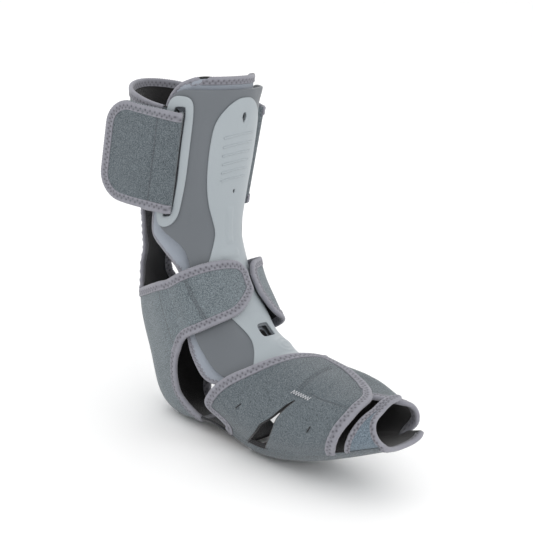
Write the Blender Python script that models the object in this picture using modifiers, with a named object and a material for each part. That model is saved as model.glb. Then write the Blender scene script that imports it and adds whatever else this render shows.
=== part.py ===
"""Dorsal night splint, an ankle foot orthosis: a rigid shell down the shin and the top of the foot, a foam
liner inside it, and bound loop-fabric straps that close round the calf, the heel and the forefoot.

Run it with: blender --background --python part.py
Metres, +Z up, toes towards -Y, heel towards +Y. The origin is the middle of the sole's flat resting face.
The splint stands on its sole and its heel sling, so the leg leans back a little.
"""

import bpy
import numpy as np

MM = 0.001

# The leg and foot that every piece is laid over, as sections from above the calf to past the toes.
# Each section runs from its front (shin, instep) to its back (calf, heel, sole), in millimetres:
# front y, front z, back y, back z, half width, squareness of the front half, squareness of the back half.
SECTIONS = np.array(
    [
        (94.5, 307, 197.5, 289, 44, 2.1, 2.1),
        (93, 275, 191, 258.5, 44, 2.1, 2.1),
        (93.5, 238.5, 182, 219, 43, 2.1, 2.1),
        (94, 205.5, 171, 179.5, 39, 2.1, 2.1),
        (91.5, 177.5, 165, 145, 35, 2.1, 2.1),
        (85, 154, 164.5, 111, 34, 2.1, 2.1),
        (70.5, 129, 158.5, 78.5, 34, 2.1, 2.1),
        (53.5, 109.5, 141, 45.5, 35, 2.1, 2.2),
        (35, 91.5, 123, 13, 35, 2.1, 2.35),
        (18.5, 83.5, 97.5, 2.5, 35, 2.1, 2.5),
        (1, 77.5, 51.5, 8, 37, 2.1, 2.8),
        (-21.5, 74.5, -3, 2.5, 41, 2.2, 3),
        (-51.5, 74.5, -48, 13.5, 43, 2.3, 3),
        (-81, 73, -84, 29.5, 40, 2.4, 2.8),
        (-111, 70.5, -129.5, 53, 28, 2.3, 2.6),
    ]
)
LAST_STATION = len(SECTIONS) - 1

# Thicknesses, and the lift of each layer's inner face above the leg, in millimetres.
GAP = 0.4
FACET_GAP = 1.0
LINER = 2.8
HOOK_PAIR = 1.6
SHELL = 2.4
PANEL = 1.2
STRAP = 2.4
BAND = 1.9
HOOK = 0.7
SOLE = 3.2
SHELL_LIFT = 6.1
TAPE_RADIUS = 1.7

CALF_TAB_LENGTH = 65.0
CALF_TAB_CORNER = 24.0
CALF_TAB_SPLAY = 13.0
CALF_TAB_END_GAP = 2.5
FOLD_RADIUS = 1.5
FOLD_LIFT = 12.6

# The flaps' hinge lines stand outside and below the bulge of the sole's edge, so the flaps clear it as they open.
FLAP_ROOT_LIFT = 0.8
FLAP_HINGE_OUT = 7.0
FLAP_HINGE_DROP = 3.5

COLOURS = {
    "overmould": ((0.165, 0.175, 0.19), 0.55),
    "core": ((0.42, 0.47, 0.48), 0.45),
    "fabric": ((0.10, 0.125, 0.135), 0.95),
    "tape": ((0.25, 0.245, 0.28), 0.85),
    "plush": ((0.02, 0.02, 0.024), 1.0),
    "foam": ((0.30, 0.33, 0.35), 0.9),
    "hook": ((0.03, 0.03, 0.035), 0.8),
}


def clear_scene():
    for leftover in list(bpy.data.objects):
        bpy.data.objects.remove(leftover, do_unlink=True)


def make_collection(name):
    collection = bpy.data.collections.new(name)
    bpy.context.scene.collection.children.link(collection)
    return collection


def make_material(name):
    colour, roughness = COLOURS[name]
    material = bpy.data.materials.new(name)
    material.use_nodes = True
    shader = material.node_tree.nodes["Principled BSDF"]
    shader.inputs["Base Color"].default_value = (*colour, 1.0)
    shader.inputs["Roughness"].default_value = roughness
    shader.inputs["Metallic"].default_value = 0.0
    return material


# ---------------------------------------------------------------- the form


def spline(points, where):
    """Catmull-Rom curve through the points, read at 0 (first point) to len(points) - 1 (last point)."""
    points = np.asarray(points, float)
    last = len(points) - 1
    where = np.clip(np.asarray(where, float), 0.0, last - 1e-9)
    index = where.astype(int)
    part = (where - index)[..., None]
    here, there = points[index], points[index + 1]
    before = np.where((index == 0)[..., None], 2 * here - there, points[np.maximum(index - 1, 0)])
    after = np.where((index == last - 1)[..., None], 2 * there - here, points[np.minimum(index + 2, last)])
    return 0.5 * (
        2 * here
        + (there - before) * part
        + (2 * before - 5 * here + 4 * there - after) * part**2
        + (3 * here - before - 3 * there + after) * part**3
    )


def form_point(station, angle):
    """A point of the bare form. Angle 0 is the front, -90 the near side (-X), 180 the back or the sole."""
    section = spline(SECTIONS, station)
    turn = np.radians(angle)
    forward, sideways = np.cos(turn), np.sin(turn)
    front, back = section[..., 0:2], section[..., 2:4]
    power = 2 / np.where(forward >= 0, section[..., 5], section[..., 6])
    reach = (front - back) / 2 * (np.sign(forward) * np.abs(forward) ** power)[..., None]
    across = section[..., 4] * np.sign(sideways) * np.abs(sideways) ** power
    middle = (front + back) / 2 + reach
    return np.stack([across, middle[..., 0], middle[..., 1]], -1)


def form_normal(station, angle):
    step, swing = 0.02, 0.6
    ahead = form_point(np.minimum(station + step, LAST_STATION), angle)
    behind = form_point(np.maximum(station - step, 0), angle)
    turned = form_point(station, angle + swing) - form_point(station, angle - swing)
    normal = np.cross(ahead - behind, turned)
    return normal / np.linalg.norm(normal, axis=-1)[..., None]


def on_form(station, angle, lift):
    """Points lifted off the form along its normal, in millimetres."""
    station, angle = np.broadcast_arrays(np.asarray(station, float), np.asarray(angle, float))
    lift = np.broadcast_to(np.asarray(lift, float), station.shape)
    return form_point(station, angle) + lift[..., None] * form_normal(station, angle)


def side_angle(angle):
    """The angle away from the front, 0 to 180, whichever side it is on."""
    return np.abs((np.asarray(angle, float) + 180) % 360 - 180)


def ease(value, start, end):
    """0 before start, 1 after end, and a smooth step between."""
    part = np.clip((np.asarray(value, float) - start) / (end - start), 0, 1)
    return part * part * (3 - 2 * part)


# ---------------------------------------------------------------- lifts of the layers


def shell_lift(station, angle):
    """The shell stands off the liner on the leg and comes down onto the foot where the flaps cover it."""
    return SHELL_LIFT - 2.0 * ease(station, 9.0, 9.8) - 2.1 * ease(station, 9.9, 10.8)


def panel_lift(station, angle):
    return shell_lift(station, angle) + SHELL + FACET_GAP


def calf_band_lift(station, angle):
    return 3.3 - 0.3 * ease(side_angle(angle), 90, 130)


def ankle_strap_lift(station, angle):
    """Over the core panel at the front, down past the shell's edge to the sling at the hinge; the far one bows."""
    bow = 3.5 * np.exp(-(((np.asarray(angle, float) - 44) / 15) ** 2))
    return 12.6 + bow - 5.1 * ease(side_angle(angle), 60, 82)


def sling_lift(station, angle):
    return 7.5 - 6.9 * ease(side_angle(angle), 76, 122)


def far_flap_lift(station, angle):
    over_shell = np.interp(station, [10.0, 10.8, 11.3, 12.2], [9.2, 5.8, 4.8, 1.8])
    swell = 6.0 * np.exp(-(((np.asarray(angle, float) - 48) / 26) ** 2)) * (1 - 0.75 * ease(station, 12.5, 13.6))
    return FLAP_ROOT_LIFT + (over_shell + swell - FLAP_ROOT_LIFT) * ease(side_angle(angle), 118, 84)


def near_flap_lift(station, angle):
    over_shell = np.interp(station, [9.4, 9.8, 10.4, 10.9, 11.3, 12.4], [10.8, 9.9, 9.2, 9.9, 9.4, 6.4])
    swell = 4.0 * np.exp(-(((np.asarray(angle, float) - 40) / 24) ** 2))
    return FLAP_ROOT_LIFT + (over_shell + swell - FLAP_ROOT_LIFT) * ease(side_angle(angle), 118, 84)


def toe_panel_lift(station, angle):
    over_flap = 5.0 * ease(angle, -28, 6)
    return FLAP_ROOT_LIFT + 1.4 * ease(side_angle(angle), 118, 90) + over_flap


# ---------------------------------------------------------------- outlines, as (station, angle) rungs


def mirrored(half):
    """Left and right edges of a piece that is the same on both sides of the front."""
    return [(s, -a) for s, a in half], [(s, a) for s, a in half]


def about_back(half):
    """The same for a piece about the back of the leg or the sole, with half angles counted from the back."""
    return [(s, -180 + a) for s, a in half], [(s, -180 - a) for s, a in half]


SHELL_EDGE = [
    (0.42, 60), (0.6, 69), (1.6, 77), (2.5, 80), (3.2, 85), (3.7, 85), (4.15, 69), (4.6, 55), (5.4, 50),
    (6.3, 56), (7.2, 66), (7.9, 64), (9.0, 66), (9.7, 65), (10.3, 57), (10.8, 42), (11.1, 24),
]
LINER_EDGE = [
    (0.1, 50), (0.3, 66), (0.8, 77), (1.6, 81), (2.5, 85), (3.3, 97), (3.9, 101), (4.4, 87), (5.2, 67),
    (6.2, 64), (7.2, 77), (8.0, 79), (8.8, 81), (9.3, 76), (9.7, 64), (9.95, 47),
]
PANEL_EDGE = [
    (0.62, 6), (0.72, 13), (0.85, 19), (1.17, 28), (1.55, 31), (2.25, 32), (2.8, 31), (3.35, 28), (4.1, 21),
    (4.55, 22), (5.1, 28), (5.5, 35), (6.1, 37), (6.7, 33), (7.24, 27), (7.87, 20), (8.5, 22), (9.0, 28),
    (9.4, 35), (9.84, 45), (10.25, 43), (10.6, 30),
]
FRAME_REAR = [(0.58, -66), (0.8, -71), (1.62, -75.5), (2.52, -79), (3.3, -84), (3.58, -84.5), (3.72, -81)]
FRAME_FRONT = [(0.58, -60), (0.72, -51.5), (1.62, -51.5), (2.5, -54.5), (3.3, -61), (3.58, -66), (3.72, -73)]
SLOT_REAR = [(0.8, -62), (0.88, -67), (1.6, -71), (2.5, -74.5), (3.38, -79.5), (3.48, -77)]
SLOT_FRONT = [(0.8, -59), (0.88, -55.5), (1.6, -57), (2.5, -60), (3.38, -67.5), (3.48, -71)]
SLOT_ENDS = ((0.92, -62.0), (3.34, -73.5))

BAND_TOP = [(0.95, -64), (0.8, -90), (0.58, -120), (0.38, -150), (0.3, -180)]
BAND_BOTTOM = [(3.3, -72), (3.28, -90), (3.15, -120), (2.95, -150), (2.9, -180)]
ACHILLES_EDGE = [(2.35, 62), (3.0, 57), (3.4, 48), (3.8, 38), (4.3, 31), (4.8, 29), (5.15, 34), (5.43, 44)]
SLING_EDGE = [
    (5.45, 103), (6.0, 103), (6.6, 103), (7.17, 103), (7.32, 96), (7.5, 90), (7.75, 85), (8.05, 80),
    (8.5, 73), (8.95, 67), (9.3, 59), (9.58, 47),
]
# The far edge of the sling stands further back, so the heel is more open on that side.
SLING_FAR_EDGE = [
    (5.45, 103), (6.0, 103), (6.6, 103), (7.17, 103), (7.32, 92), (7.5, 80), (7.75, 66), (8.05, 53),
    (8.5, 42), (8.95, 36), (9.3, 33), (9.58, 32),
]
ARCH_EDGE = [(9.6, 45), (10.0, 40), (10.3, 34), (10.58, 27)]
SOLE_REAR = [(10.3, -119), (10.48, -135), (10.65, -150), (10.72, -165), (10.75, -180)]
SOLE_FRONT = [(13.9, -119), (13.9, -135), (13.88, -150), (13.86, -165), (13.85, -180)]

STRAP_TOP = [(5.46, -76), (5.35, -58), (5.3, -38), (5.36, -18), (5.5, -4), (5.8, 3)]
STRAP_BOTTOM = [(7.17, -76), (7.18, -58), (7.18, -40), (7.14, -22), (6.85, -8), (6.5, 2)]
FAR_STRAP_TOP = [(5.46, 76), (5.4, 60), (5.42, 45), (5.5, 30), (5.6, 19), (5.9, 12)]
FAR_STRAP_BOTTOM = [(7.5, 76), (7.6, 60), (7.62, 45), (7.5, 30), (7.2, 19), (6.7, 12)]

FLAP_REAR = [
    (10.3, -117.5), (9.76, -104), (9.5, -90), (9.5, -68), (9.77, -46), (10.0, -22), (10.25, 0), (10.6, 17),
    (11.0, 25),
]
FLAP_FRONT = [
    (13.0, -117.5), (13.1, -98), (13.25, -80), (13.38, -62), (13.42, -42), (13.4, -18), (13.2, -3), (12.6, 10),
    (11.8, 21),
]
SLIT_REAR = [(11.74, -57), (11.44, -78), (11.15, -90), (10.87, -110), (10.82, -124)]
SLIT_FRONT = [(11.86, -57), (11.56, -78), (11.5, -90), (11.32, -110), (11.22, -124)]
FAR_FLAP_REAR = [
    (10.3, 117.5), (9.95, 104), (9.95, 88), (10.3, 62), (10.75, 34), (10.9, 12), (11.05, -8), (11.4, -19),
]
FAR_FLAP_FRONT = [
    (13.5, 117.5), (13.7, 100), (13.8, 82), (13.8, 60), (13.72, 38), (13.4, 14), (12.95, -5), (12.4, -17),
]
TOE_REAR = [
    (13.25, -117.5), (13.33, -98), (13.45, -80), (13.55, -60), (13.62, -34), (13.62, -8), (13.6, 14), (13.6, 27),
]
TOE_FRONT = [
    (13.93, -117.5), (13.92, -98), (13.9, -78), (13.88, -56), (13.86, -30), (13.83, -6), (13.76, 16), (13.66, 28),
]


def rungs_to_grid(left, right, along, across):
    """Stations and angles of a grid between two edges: rows run along the edges, columns from left to right."""
    rows = np.linspace(0, len(left) - 1, along + 1)
    a = spline(left, rows)[:, None, :]
    b = spline(right, rows)[:, None, :]
    mix = np.linspace(0, 1, across + 1)[None, :, None]
    grid = a + (b - a) * mix
    return grid[..., 0], grid[..., 1]


# ---------------------------------------------------------------- solids


def mesh_object(name, points, faces, collection, material):
    mesh = bpy.data.meshes.new(name)
    mesh.from_pydata((np.asarray(points) * MM).tolist(), [], faces)
    mesh.materials.append(material)
    mesh.shade_smooth()
    made = bpy.data.objects.new(name, mesh)
    collection.objects.link(made)
    return made


def thick_sheet(name, grid, thickness, collection, material):
    """An open sheet of quads over the grid of points, whose rows and columns turn right-handed about outwards,
    thickened outwards by Solidify."""
    rows, columns = grid.shape[:2]
    faces = []
    for r in range(rows - 1):
        for c in range(columns - 1):
            corner = r * columns + c
            faces.append((corner, corner + columns, corner + columns + 1, corner + 1))
    made = mesh_object(name, grid.reshape(-1, 3), faces, collection, material)
    solid = made.modifiers.new("Thickness", "SOLIDIFY")
    solid.thickness = thickness * MM
    solid.offset = 1.0
    return made


def form_grid(left, right, lift, along, across, floor=None):
    """Points of a sheet on the form between two edges, its inner face lifted by a number or a function."""
    station, angle = rungs_to_grid(left, right, along, across)
    grid = on_form(station, angle, lift(station, angle) if callable(lift) else lift)
    if floor is not None:
        grid[..., 2] = np.maximum(grid[..., 2], floor)
    r, c = along // 2, across // 2
    turned = np.cross(grid[r + 1, c] - grid[r, c], grid[r, c + 1] - grid[r, c])
    if turned @ form_normal(station[r, c], angle[r, c]) < 0:
        grid = grid[:, ::-1]
    return grid


def form_sheet(name, left, right, lift, thickness, along, across, collection, material, floor=None):
    grid = form_grid(left, right, lift, along, across, floor)
    return thick_sheet(name, grid, thickness, collection, material), grid


def cutter(name, left, right, low, high, along, collection, material):
    """A slab on the form between two edges, from one lift to another, for a Boolean."""
    made, _ = form_sheet(name, left, right, low, high - low, along, 1, collection, material)
    made.hide_render = True
    made.display_type = "WIRE"
    return made


def cut(target, tool, operation="DIFFERENCE"):
    modifier = target.modifiers.new(tool.name, "BOOLEAN")
    modifier.operation = operation
    modifier.object = tool


def rim(grid, sides):
    """The edge of a grid of points as one open run, or all round it. Sides are bottom, right, top and left."""
    runs = {
        "bottom": grid[0, :],
        "right": grid[:, -1],
        "top": grid[-1, ::-1],
        "left": grid[::-1, 0],
    }
    return np.concatenate([runs[side] if i == 0 else runs[side][1:] for i, side in enumerate(sides)])


def tape(name, grid, thickness, sides, collection, material, floor=None, radius=TAPE_RADIUS, clear=0.6):
    """Edge binding: a tube that runs along the rim of a sheet, clear of it."""
    run = rim(grid, sides)
    closed = len(sides) == 4
    if closed:
        run = run[:-1]
    normals = rim(grid_normals(grid), sides)[: len(run)]
    ahead = np.roll(run, -1, axis=0) - run
    behind = run - np.roll(run, 1, axis=0)
    if not closed:
        ahead[-1], behind[0] = behind[-1], ahead[0]
    ahead /= np.linalg.norm(ahead, axis=1)[:, None]
    behind /= np.linalg.norm(behind, axis=1)[:, None]
    outward = np.cross(normals, ahead + behind)
    outward /= np.linalg.norm(outward, axis=1)[:, None]
    square = np.cross(normals, ahead)
    mitre = np.clip((outward * square).sum(1), 0.6, 1.0)
    reach = (radius + clear) / mitre
    path = run + normals * thickness / 2 + outward * reach[:, None]
    if floor is not None:
        path[:, 2] = np.maximum(path[:, 2], floor)
    return tube(name, path, radius, closed, collection, material)


def grid_normals(grid):
    along = np.gradient(grid, axis=0)
    across = np.gradient(grid, axis=1)
    normals = np.cross(along, across)
    return normals / np.linalg.norm(normals, axis=-1)[..., None]


def tube(name, path, radius, closed, collection, material):
    curve = bpy.data.curves.new(name, "CURVE")
    curve.dimensions = "3D"
    curve.bevel_depth = radius * MM
    curve.bevel_resolution = 0
    curve.use_fill_caps = not closed
    run = curve.splines.new("POLY")
    run.points.add(len(path) - 1)
    for point, place in zip(run.points, path):
        point.co = (*(place * MM), 1.0)
    run.use_cyclic_u = closed
    curve.materials.append(material)
    made = bpy.data.objects.new(name, curve)
    collection.objects.link(made)
    return made


# ---------------------------------------------------------------- pieces


def build_shell(parts, tools, paints):
    left, right = mirrored(SHELL_EDGE)
    shell, _ = form_sheet("shell_overmould", left, right, shell_lift, SHELL, 32, 12, parts, paints["overmould"])
    left, right = mirrored(PANEL_EDGE)
    panel, _ = form_sheet("core_panel", left, right, panel_lift, PANEL, 36, 5, parts, paints["core"])
    left, right = mirrored(LINER_EDGE)
    liner, grid = form_sheet("liner_foam", left, right, 0.0, LINER, 26, 8, parts, paints["foam"])
    tape("liner_binding", grid, LINER, ("bottom", "right", "top", "left"), parts, paints["tape"], radius=1.3, clear=1.2)
    window = cutter(
        "instep_window", [(7.72, -8.5), (8.42, -9)], [(7.72, 8.5), (8.42, 9)], -4, 14, 2, tools, paints["core"]
    )
    for piece in (shell, panel, liner):
        cut(piece, window)
    holes = (("teardrop_hole", 0.92, 1.3, 3.4), ("rivet_hole", 2.88, 3.02, 2.2))
    for name, start, end, half in holes:
        hole = cutter(name, [(start, -half), (end, -half)], [(start, half), (end, half)], 4, 14, 2, tools, paints["core"])
        cut(shell, hole)
        cut(panel, hole)
    return shell


def build_slot_frames(shell, parts, tools, paints):
    for side, sign in (("near", 1), ("far", -1)):
        rear, front, slot_rear, slot_front = (
            [(s, sign * a) for s, a in edge] for edge in (FRAME_REAR, FRAME_FRONT, SLOT_REAR, SLOT_FRONT)
        )
        lift = SHELL_LIFT + SHELL + FACET_GAP
        frame, _ = form_sheet("slot_frame_" + side, rear, front, lift, 1.4, 14, 4, parts, paints["core"])
        slot = cutter("slot_" + side, slot_rear, slot_front, 4.6, 12.6, 8, tools, paints["core"])
        cut(frame, slot)
        cut(shell, slot)


def build_liner_hooks(parts, paints):
    """Hook-and-loop pairs that hold the liner inside the shell."""
    places = (("liner_hook_calf", 1.3, 2.6, 16), ("liner_hook_shin", 3.6, 4.6, 14), ("liner_hook_foot", 8.52, 9.0, 14))
    for name, start, end, half in places:
        left, right = [(start, -half), (end, -half)], [(start, half), (end, half)]
        form_sheet(name, left, right, LINER + GAP, HOOK_PAIR, 6, 3, parts, paints["hook"])


def build_calf_band(parts, paints):
    top = BAND_TOP + [(s, -360 - a) for s, a in reversed(BAND_TOP[:-1])]
    bottom = BAND_BOTTOM + [(s, -360 - a) for s, a in reversed(BAND_BOTTOM[:-1])]
    _, grid = form_sheet("calf_band", top, bottom, calf_band_lift, BAND, 26, 4, parts, paints["fabric"])
    trimmed = grid[5:-5]
    tape("calf_band_binding_top", trimmed, BAND, ("left",), parts, paints["tape"], radius=1.4)
    tape("calf_band_binding_bottom", trimmed, BAND, ("right",), parts, paints["tape"], radius=1.4)


def build_achilles_panel(parts, paints):
    left, right = about_back(ACHILLES_EDGE)
    _, grid = form_sheet("achilles_panel", left, right, 0.5, BAND, 14, 8, parts, paints["plush"])
    tape("achilles_binding_near", grid[4:], BAND, ("left",), parts, paints["tape"], radius=1.4)
    tape("achilles_binding_far", grid[4:], BAND, ("right",), parts, paints["tape"], radius=1.4)


def build_heel_sling(parts, paints):
    left, _ = about_back(SLING_EDGE)
    _, right = about_back(SLING_FAR_EDGE)
    floor = STRAP
    _, grid = form_sheet("heel_sling", left, right, sling_lift, STRAP, 16, 16, parts, paints["fabric"], floor)
    low = TAPE_RADIUS + GAP
    for side, edge in (("near", "left"), ("far", "right")):
        tape("sling_binding_" + side, grid[5:], STRAP, (edge,), parts, paints["tape"], low)


def build_sole(parts, paints):
    left, right = about_back(ARCH_EDGE)
    form_sheet("arch_strip", left, right, 0.8, STRAP, 6, 5, parts, paints["plush"], STRAP + GAP)
    rear = SOLE_REAR + [(s, -360 - a) for s, a in reversed(SOLE_REAR[:-1])]
    front = SOLE_FRONT + [(s, -360 - a) for s, a in reversed(SOLE_FRONT[:-1])]
    _, grid = form_sheet("sole_band", rear, front, 0.4, SOLE, 12, 10, parts, paints["fabric"], SOLE)
    tape("sole_binding_toe", grid, SOLE, ("right",), parts, paints["tape"], TAPE_RADIUS + GAP)


def hang_on_hinge(name, first, last, pieces, parts):
    """Parents pieces to an empty in the middle of their joint's axis, and leaves them where they are."""
    empty = bpy.data.objects.new(name, None)
    empty.location = (np.asarray(first) + np.asarray(last)) / 2 * MM
    parts.objects.link(empty)
    for piece in pieces:
        piece.parent = empty
        piece.location = -empty.location


def tab_grid(rows, widths, axis, middle, columns):
    spread = np.linspace(-1, 1, columns + 1)
    return np.array([[middle + row + axis * width * s for s in spread] for row, width in zip(rows, widths)])


def build_calf_tab(side, sign, parts, paints):
    """The calf strap's free end: folded out through the slot and back on itself, with its hook patch inside."""
    (top_s, top_a), (low_s, low_a) = SLOT_ENDS
    top = on_form(top_s, sign * top_a, FOLD_LIFT)
    low = on_form(low_s, sign * low_a, FOLD_LIFT)
    axis = (low - top) / np.linalg.norm(low - top)
    splay = np.radians(CALF_TAB_SPLAY)
    back = np.array([-sign * np.sin(splay), np.cos(splay), 0.0])
    back -= (back @ axis) * axis
    back /= np.linalg.norm(back)
    out = np.cross(back, axis) * sign
    half = np.linalg.norm(low - top) / 2 - CALF_TAB_END_GAP
    middle = (top + low) / 2
    straight = CALF_TAB_LENGTH - CALF_TAB_CORNER
    rows = [FOLD_RADIUS * (np.cos(a) * back + np.sin(a) * out) for a in np.radians(np.linspace(-125, -270, 5))]
    rows += [reach * back + FOLD_RADIUS * out for reach in (14, 24, 33, straight)]
    widths = [half] * len(rows)
    for swing in np.radians((25, 50, 75)):
        rows.append((straight + CALF_TAB_CORNER * np.sin(swing)) * back + FOLD_RADIUS * out)
        widths.append(half - CALF_TAB_CORNER * (1 - np.cos(swing)))
    grid = tab_grid(rows, widths, sign * axis, middle, 4)
    tab = thick_sheet("calf_tab_" + side, grid, STRAP, parts, paints["fabric"])
    edges = ("right", "top", "left")
    binding = tape("calf_tab_binding_" + side, grid[7:], STRAP, edges, parts, paints["tape"])
    patch = [reach * back + (FOLD_RADIUS - GAP - HOOK) * out for reach in (26, 35, 44, 53)]
    patch_grid = tab_grid(patch, [half - 12] * 4, sign * axis, middle, 2)
    hook = thick_sheet("calf_hook_" + side, patch_grid, HOOK, parts, paints["hook"])
    hang_on_hinge("calf_hinge_" + side, top, low, (tab, binding, hook), parts)


def build_strap(name, left, right, lift, along, across, hook_rungs, parts, paints):
    """A bound strap on the form, from its hinged root to its free end, with a hook patch inside the end."""
    strap, grid = form_sheet(name, left, right, lift, STRAP, along, across, parts, paints["fabric"])
    edges = ("right", "top", "left")
    binding = tape(name + "_binding", grid[1:], STRAP, edges, parts, paints["tape"], TAPE_RADIUS + GAP)
    hook_left, hook_right = hook_rungs

    def hook_lift(station, angle):
        return lift(station, angle) - HOOK - 0.8

    hook, _ = form_sheet(name + "_hook", hook_left, hook_right, hook_lift, HOOK, 4, 3, parts, paints["hook"])
    return strap, binding, hook


def build_ankle_straps(parts, paints):
    for side, top, bottom, hook_angles in (
        ("near", STRAP_TOP, STRAP_BOTTOM, (-48, -12)),
        ("far", FAR_STRAP_TOP, FAR_STRAP_BOTTOM, (48, 24)),
    ):
        start, end = hook_angles
        hook = [(5.75, start), (5.85, end)], [(6.85, start), (6.6, end)]
        pieces = build_strap("ankle_strap_" + side, top, bottom, ankle_strap_lift, 14, 6, hook, parts, paints)
        (top_s, top_a), (low_s, low_a) = top[0], bottom[0]
        lift = ankle_strap_lift(top_s, top_a) + STRAP
        hang_on_hinge(
            "ankle_hinge_" + side, on_form(top_s, top_a, lift), on_form(low_s, low_a, lift), pieces, parts
        )


def build_flaps(parts, tools, paints):
    near_hook = [(10.9, -8), (11.0, 12)], [(12.4, -10), (12.0, 10)]
    pieces = build_strap(
        "forefoot_flap_near", FLAP_REAR, FLAP_FRONT, near_flap_lift, 16, 9, near_hook, parts, paints
    )
    slit = cutter("flap_slit", SLIT_REAR, SLIT_FRONT, -0.5, 17, 8, tools, paints["fabric"])
    cut(pieces[0], slit)
    hang_on_flap_hinge("near", FLAP_REAR, FLAP_FRONT, pieces, parts)
    far_hook = [(11.35, 2), (11.5, -12)], [(12.3, 2), (12.2, -12)]
    pieces = build_strap(
        "forefoot_flap_far", FAR_FLAP_REAR, FAR_FLAP_FRONT, far_flap_lift, 14, 6, far_hook, parts, paints
    )
    hang_on_flap_hinge("far", FAR_FLAP_REAR, FAR_FLAP_FRONT, pieces, parts)
    panel, grid = form_sheet("toe_panel", TOE_REAR, TOE_FRONT, toe_panel_lift, BAND, 14, 3, parts, paints["fabric"])
    edges = ("right", "top", "left")
    binding = tape("toe_panel_binding", grid[1:], BAND, edges, parts, paints["tape"], radius=1.3)
    hang_on_flap_hinge("toe", TOE_REAR, TOE_FRONT, (panel, binding), parts)


def hang_on_flap_hinge(side, rear, front, pieces, parts):
    (rear_s, rear_a), (front_s, front_a) = rear[0], front[0]
    lift = FLAP_ROOT_LIFT + STRAP
    outward = np.array([np.sign(rear_a) * FLAP_HINGE_OUT, 0.0, -FLAP_HINGE_DROP])
    first, last = on_form(rear_s, rear_a, lift) + outward, on_form(front_s, front_a, lift) + outward
    hang_on_hinge("flap_hinge_" + side, first, last, pieces, parts)


def main():
    clear_scene()
    parts = make_collection("dorsal_night_splint")
    tools = make_collection("cutters")
    paints = {name: make_material(name) for name in COLOURS}
    shell = build_shell(parts, tools, paints)
    build_slot_frames(shell, parts, tools, paints)
    build_liner_hooks(parts, paints)
    build_calf_band(parts, paints)
    build_achilles_panel(parts, paints)
    build_heel_sling(parts, paints)
    build_sole(parts, paints)
    for side, sign in (("near", 1), ("far", -1)):
        build_calf_tab(side, sign, parts, paints)
    build_ankle_straps(parts, paints)
    build_flaps(parts, tools, paints)


main()
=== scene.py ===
"""Dorsal night splint: the visible model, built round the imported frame.

The splint is laid over one leg form. Every piece is cut to its outline in the form's own coordinates, station
(0 above the calf to 14 past the toes) and angle (0 the front, -90 the near side, 180 the back or the sole), and
laid on it at the height of its layer. Lengths in the form's functions are millimetres.
"""

import bpy
import numpy as np
from mathutils import Matrix, Vector
from mathutils.geometry import delaunay_2d_cdt


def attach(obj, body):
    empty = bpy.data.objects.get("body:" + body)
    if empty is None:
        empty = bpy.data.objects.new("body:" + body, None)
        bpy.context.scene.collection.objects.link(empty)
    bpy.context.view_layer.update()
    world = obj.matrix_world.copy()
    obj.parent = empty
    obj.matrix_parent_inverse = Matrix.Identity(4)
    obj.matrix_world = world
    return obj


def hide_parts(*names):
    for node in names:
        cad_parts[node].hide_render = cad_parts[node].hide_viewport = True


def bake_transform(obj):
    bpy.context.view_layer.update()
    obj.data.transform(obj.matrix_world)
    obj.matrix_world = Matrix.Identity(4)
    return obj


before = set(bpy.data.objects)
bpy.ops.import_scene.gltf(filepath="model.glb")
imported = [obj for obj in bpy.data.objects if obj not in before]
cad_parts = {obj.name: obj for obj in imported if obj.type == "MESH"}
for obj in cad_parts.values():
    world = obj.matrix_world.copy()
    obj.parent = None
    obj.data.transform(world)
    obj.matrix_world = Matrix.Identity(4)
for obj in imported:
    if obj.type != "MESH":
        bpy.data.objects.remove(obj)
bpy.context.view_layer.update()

# ---------------------------------------------------------------- studio
# A pale seamless floor, two broad soft lights, one rim light behind, and the camera, which stands a little
# over a metre away on the near side of the toes and looks slightly down.

scene = bpy.context.scene
scene.view_settings.view_transform = "Standard"
world = bpy.data.worlds.new("studio_air")
scene.world = world
world.use_nodes = True
world.node_tree.nodes["Background"].inputs["Color"].default_value = (1.0, 1.0, 1.0, 1.0)
world.node_tree.nodes["Background"].inputs["Strength"].default_value = 1.02

FLOOR_REACH = 6
floor_mesh = bpy.data.meshes.new("studio_floor")
floor_corners = [(x * FLOOR_REACH, y * FLOOR_REACH, 0) for x, y in ((-1, -1), (1, -1), (1, 1), (-1, 1))]
floor_mesh.from_pydata(floor_corners, [], [(0, 1, 2, 3)])
studio_floor = bpy.data.objects.new("studio_floor", floor_mesh)
scene.collection.objects.link(studio_floor)
studio_floor.location.z = -0.0003
floor_paint = bpy.data.materials.new("pale_floor")
floor_paint.use_nodes = True
floor_paint.node_tree.nodes["Principled BSDF"].inputs["Base Color"].default_value = (0.985, 0.985, 0.985, 1)
floor_paint.node_tree.nodes["Principled BSDF"].inputs["Roughness"].default_value = 0.9
floor_mesh.materials.append(floor_paint)


LOOK_AT = Vector((0.0, 0.0611, 0.1462))
for name, place, size, power in (
    ("key_light", (-0.9, -1.3, 1.5), 1.1, 5.5),
    ("front_fill", (0.9, -1.6, 0.9), 1.4, 2.5),
    ("rim_light", (1.3, 0.9, 1.0), 0.9, 3.5),
    ("back_light", (-1.1, 1.2, 1.3), 1.0, 2.0),
):
    lamp = bpy.data.lights.new(name, "AREA")
    lamp.shape, lamp.size, lamp.energy = "SQUARE", size, power
    soft_light = bpy.data.objects.new(name, lamp)
    scene.collection.objects.link(soft_light)
    soft_light.location = place
    soft_light.rotation_euler = (LOOK_AT - Vector(place)).to_track_quat("-Z", "Y").to_euler()

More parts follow.
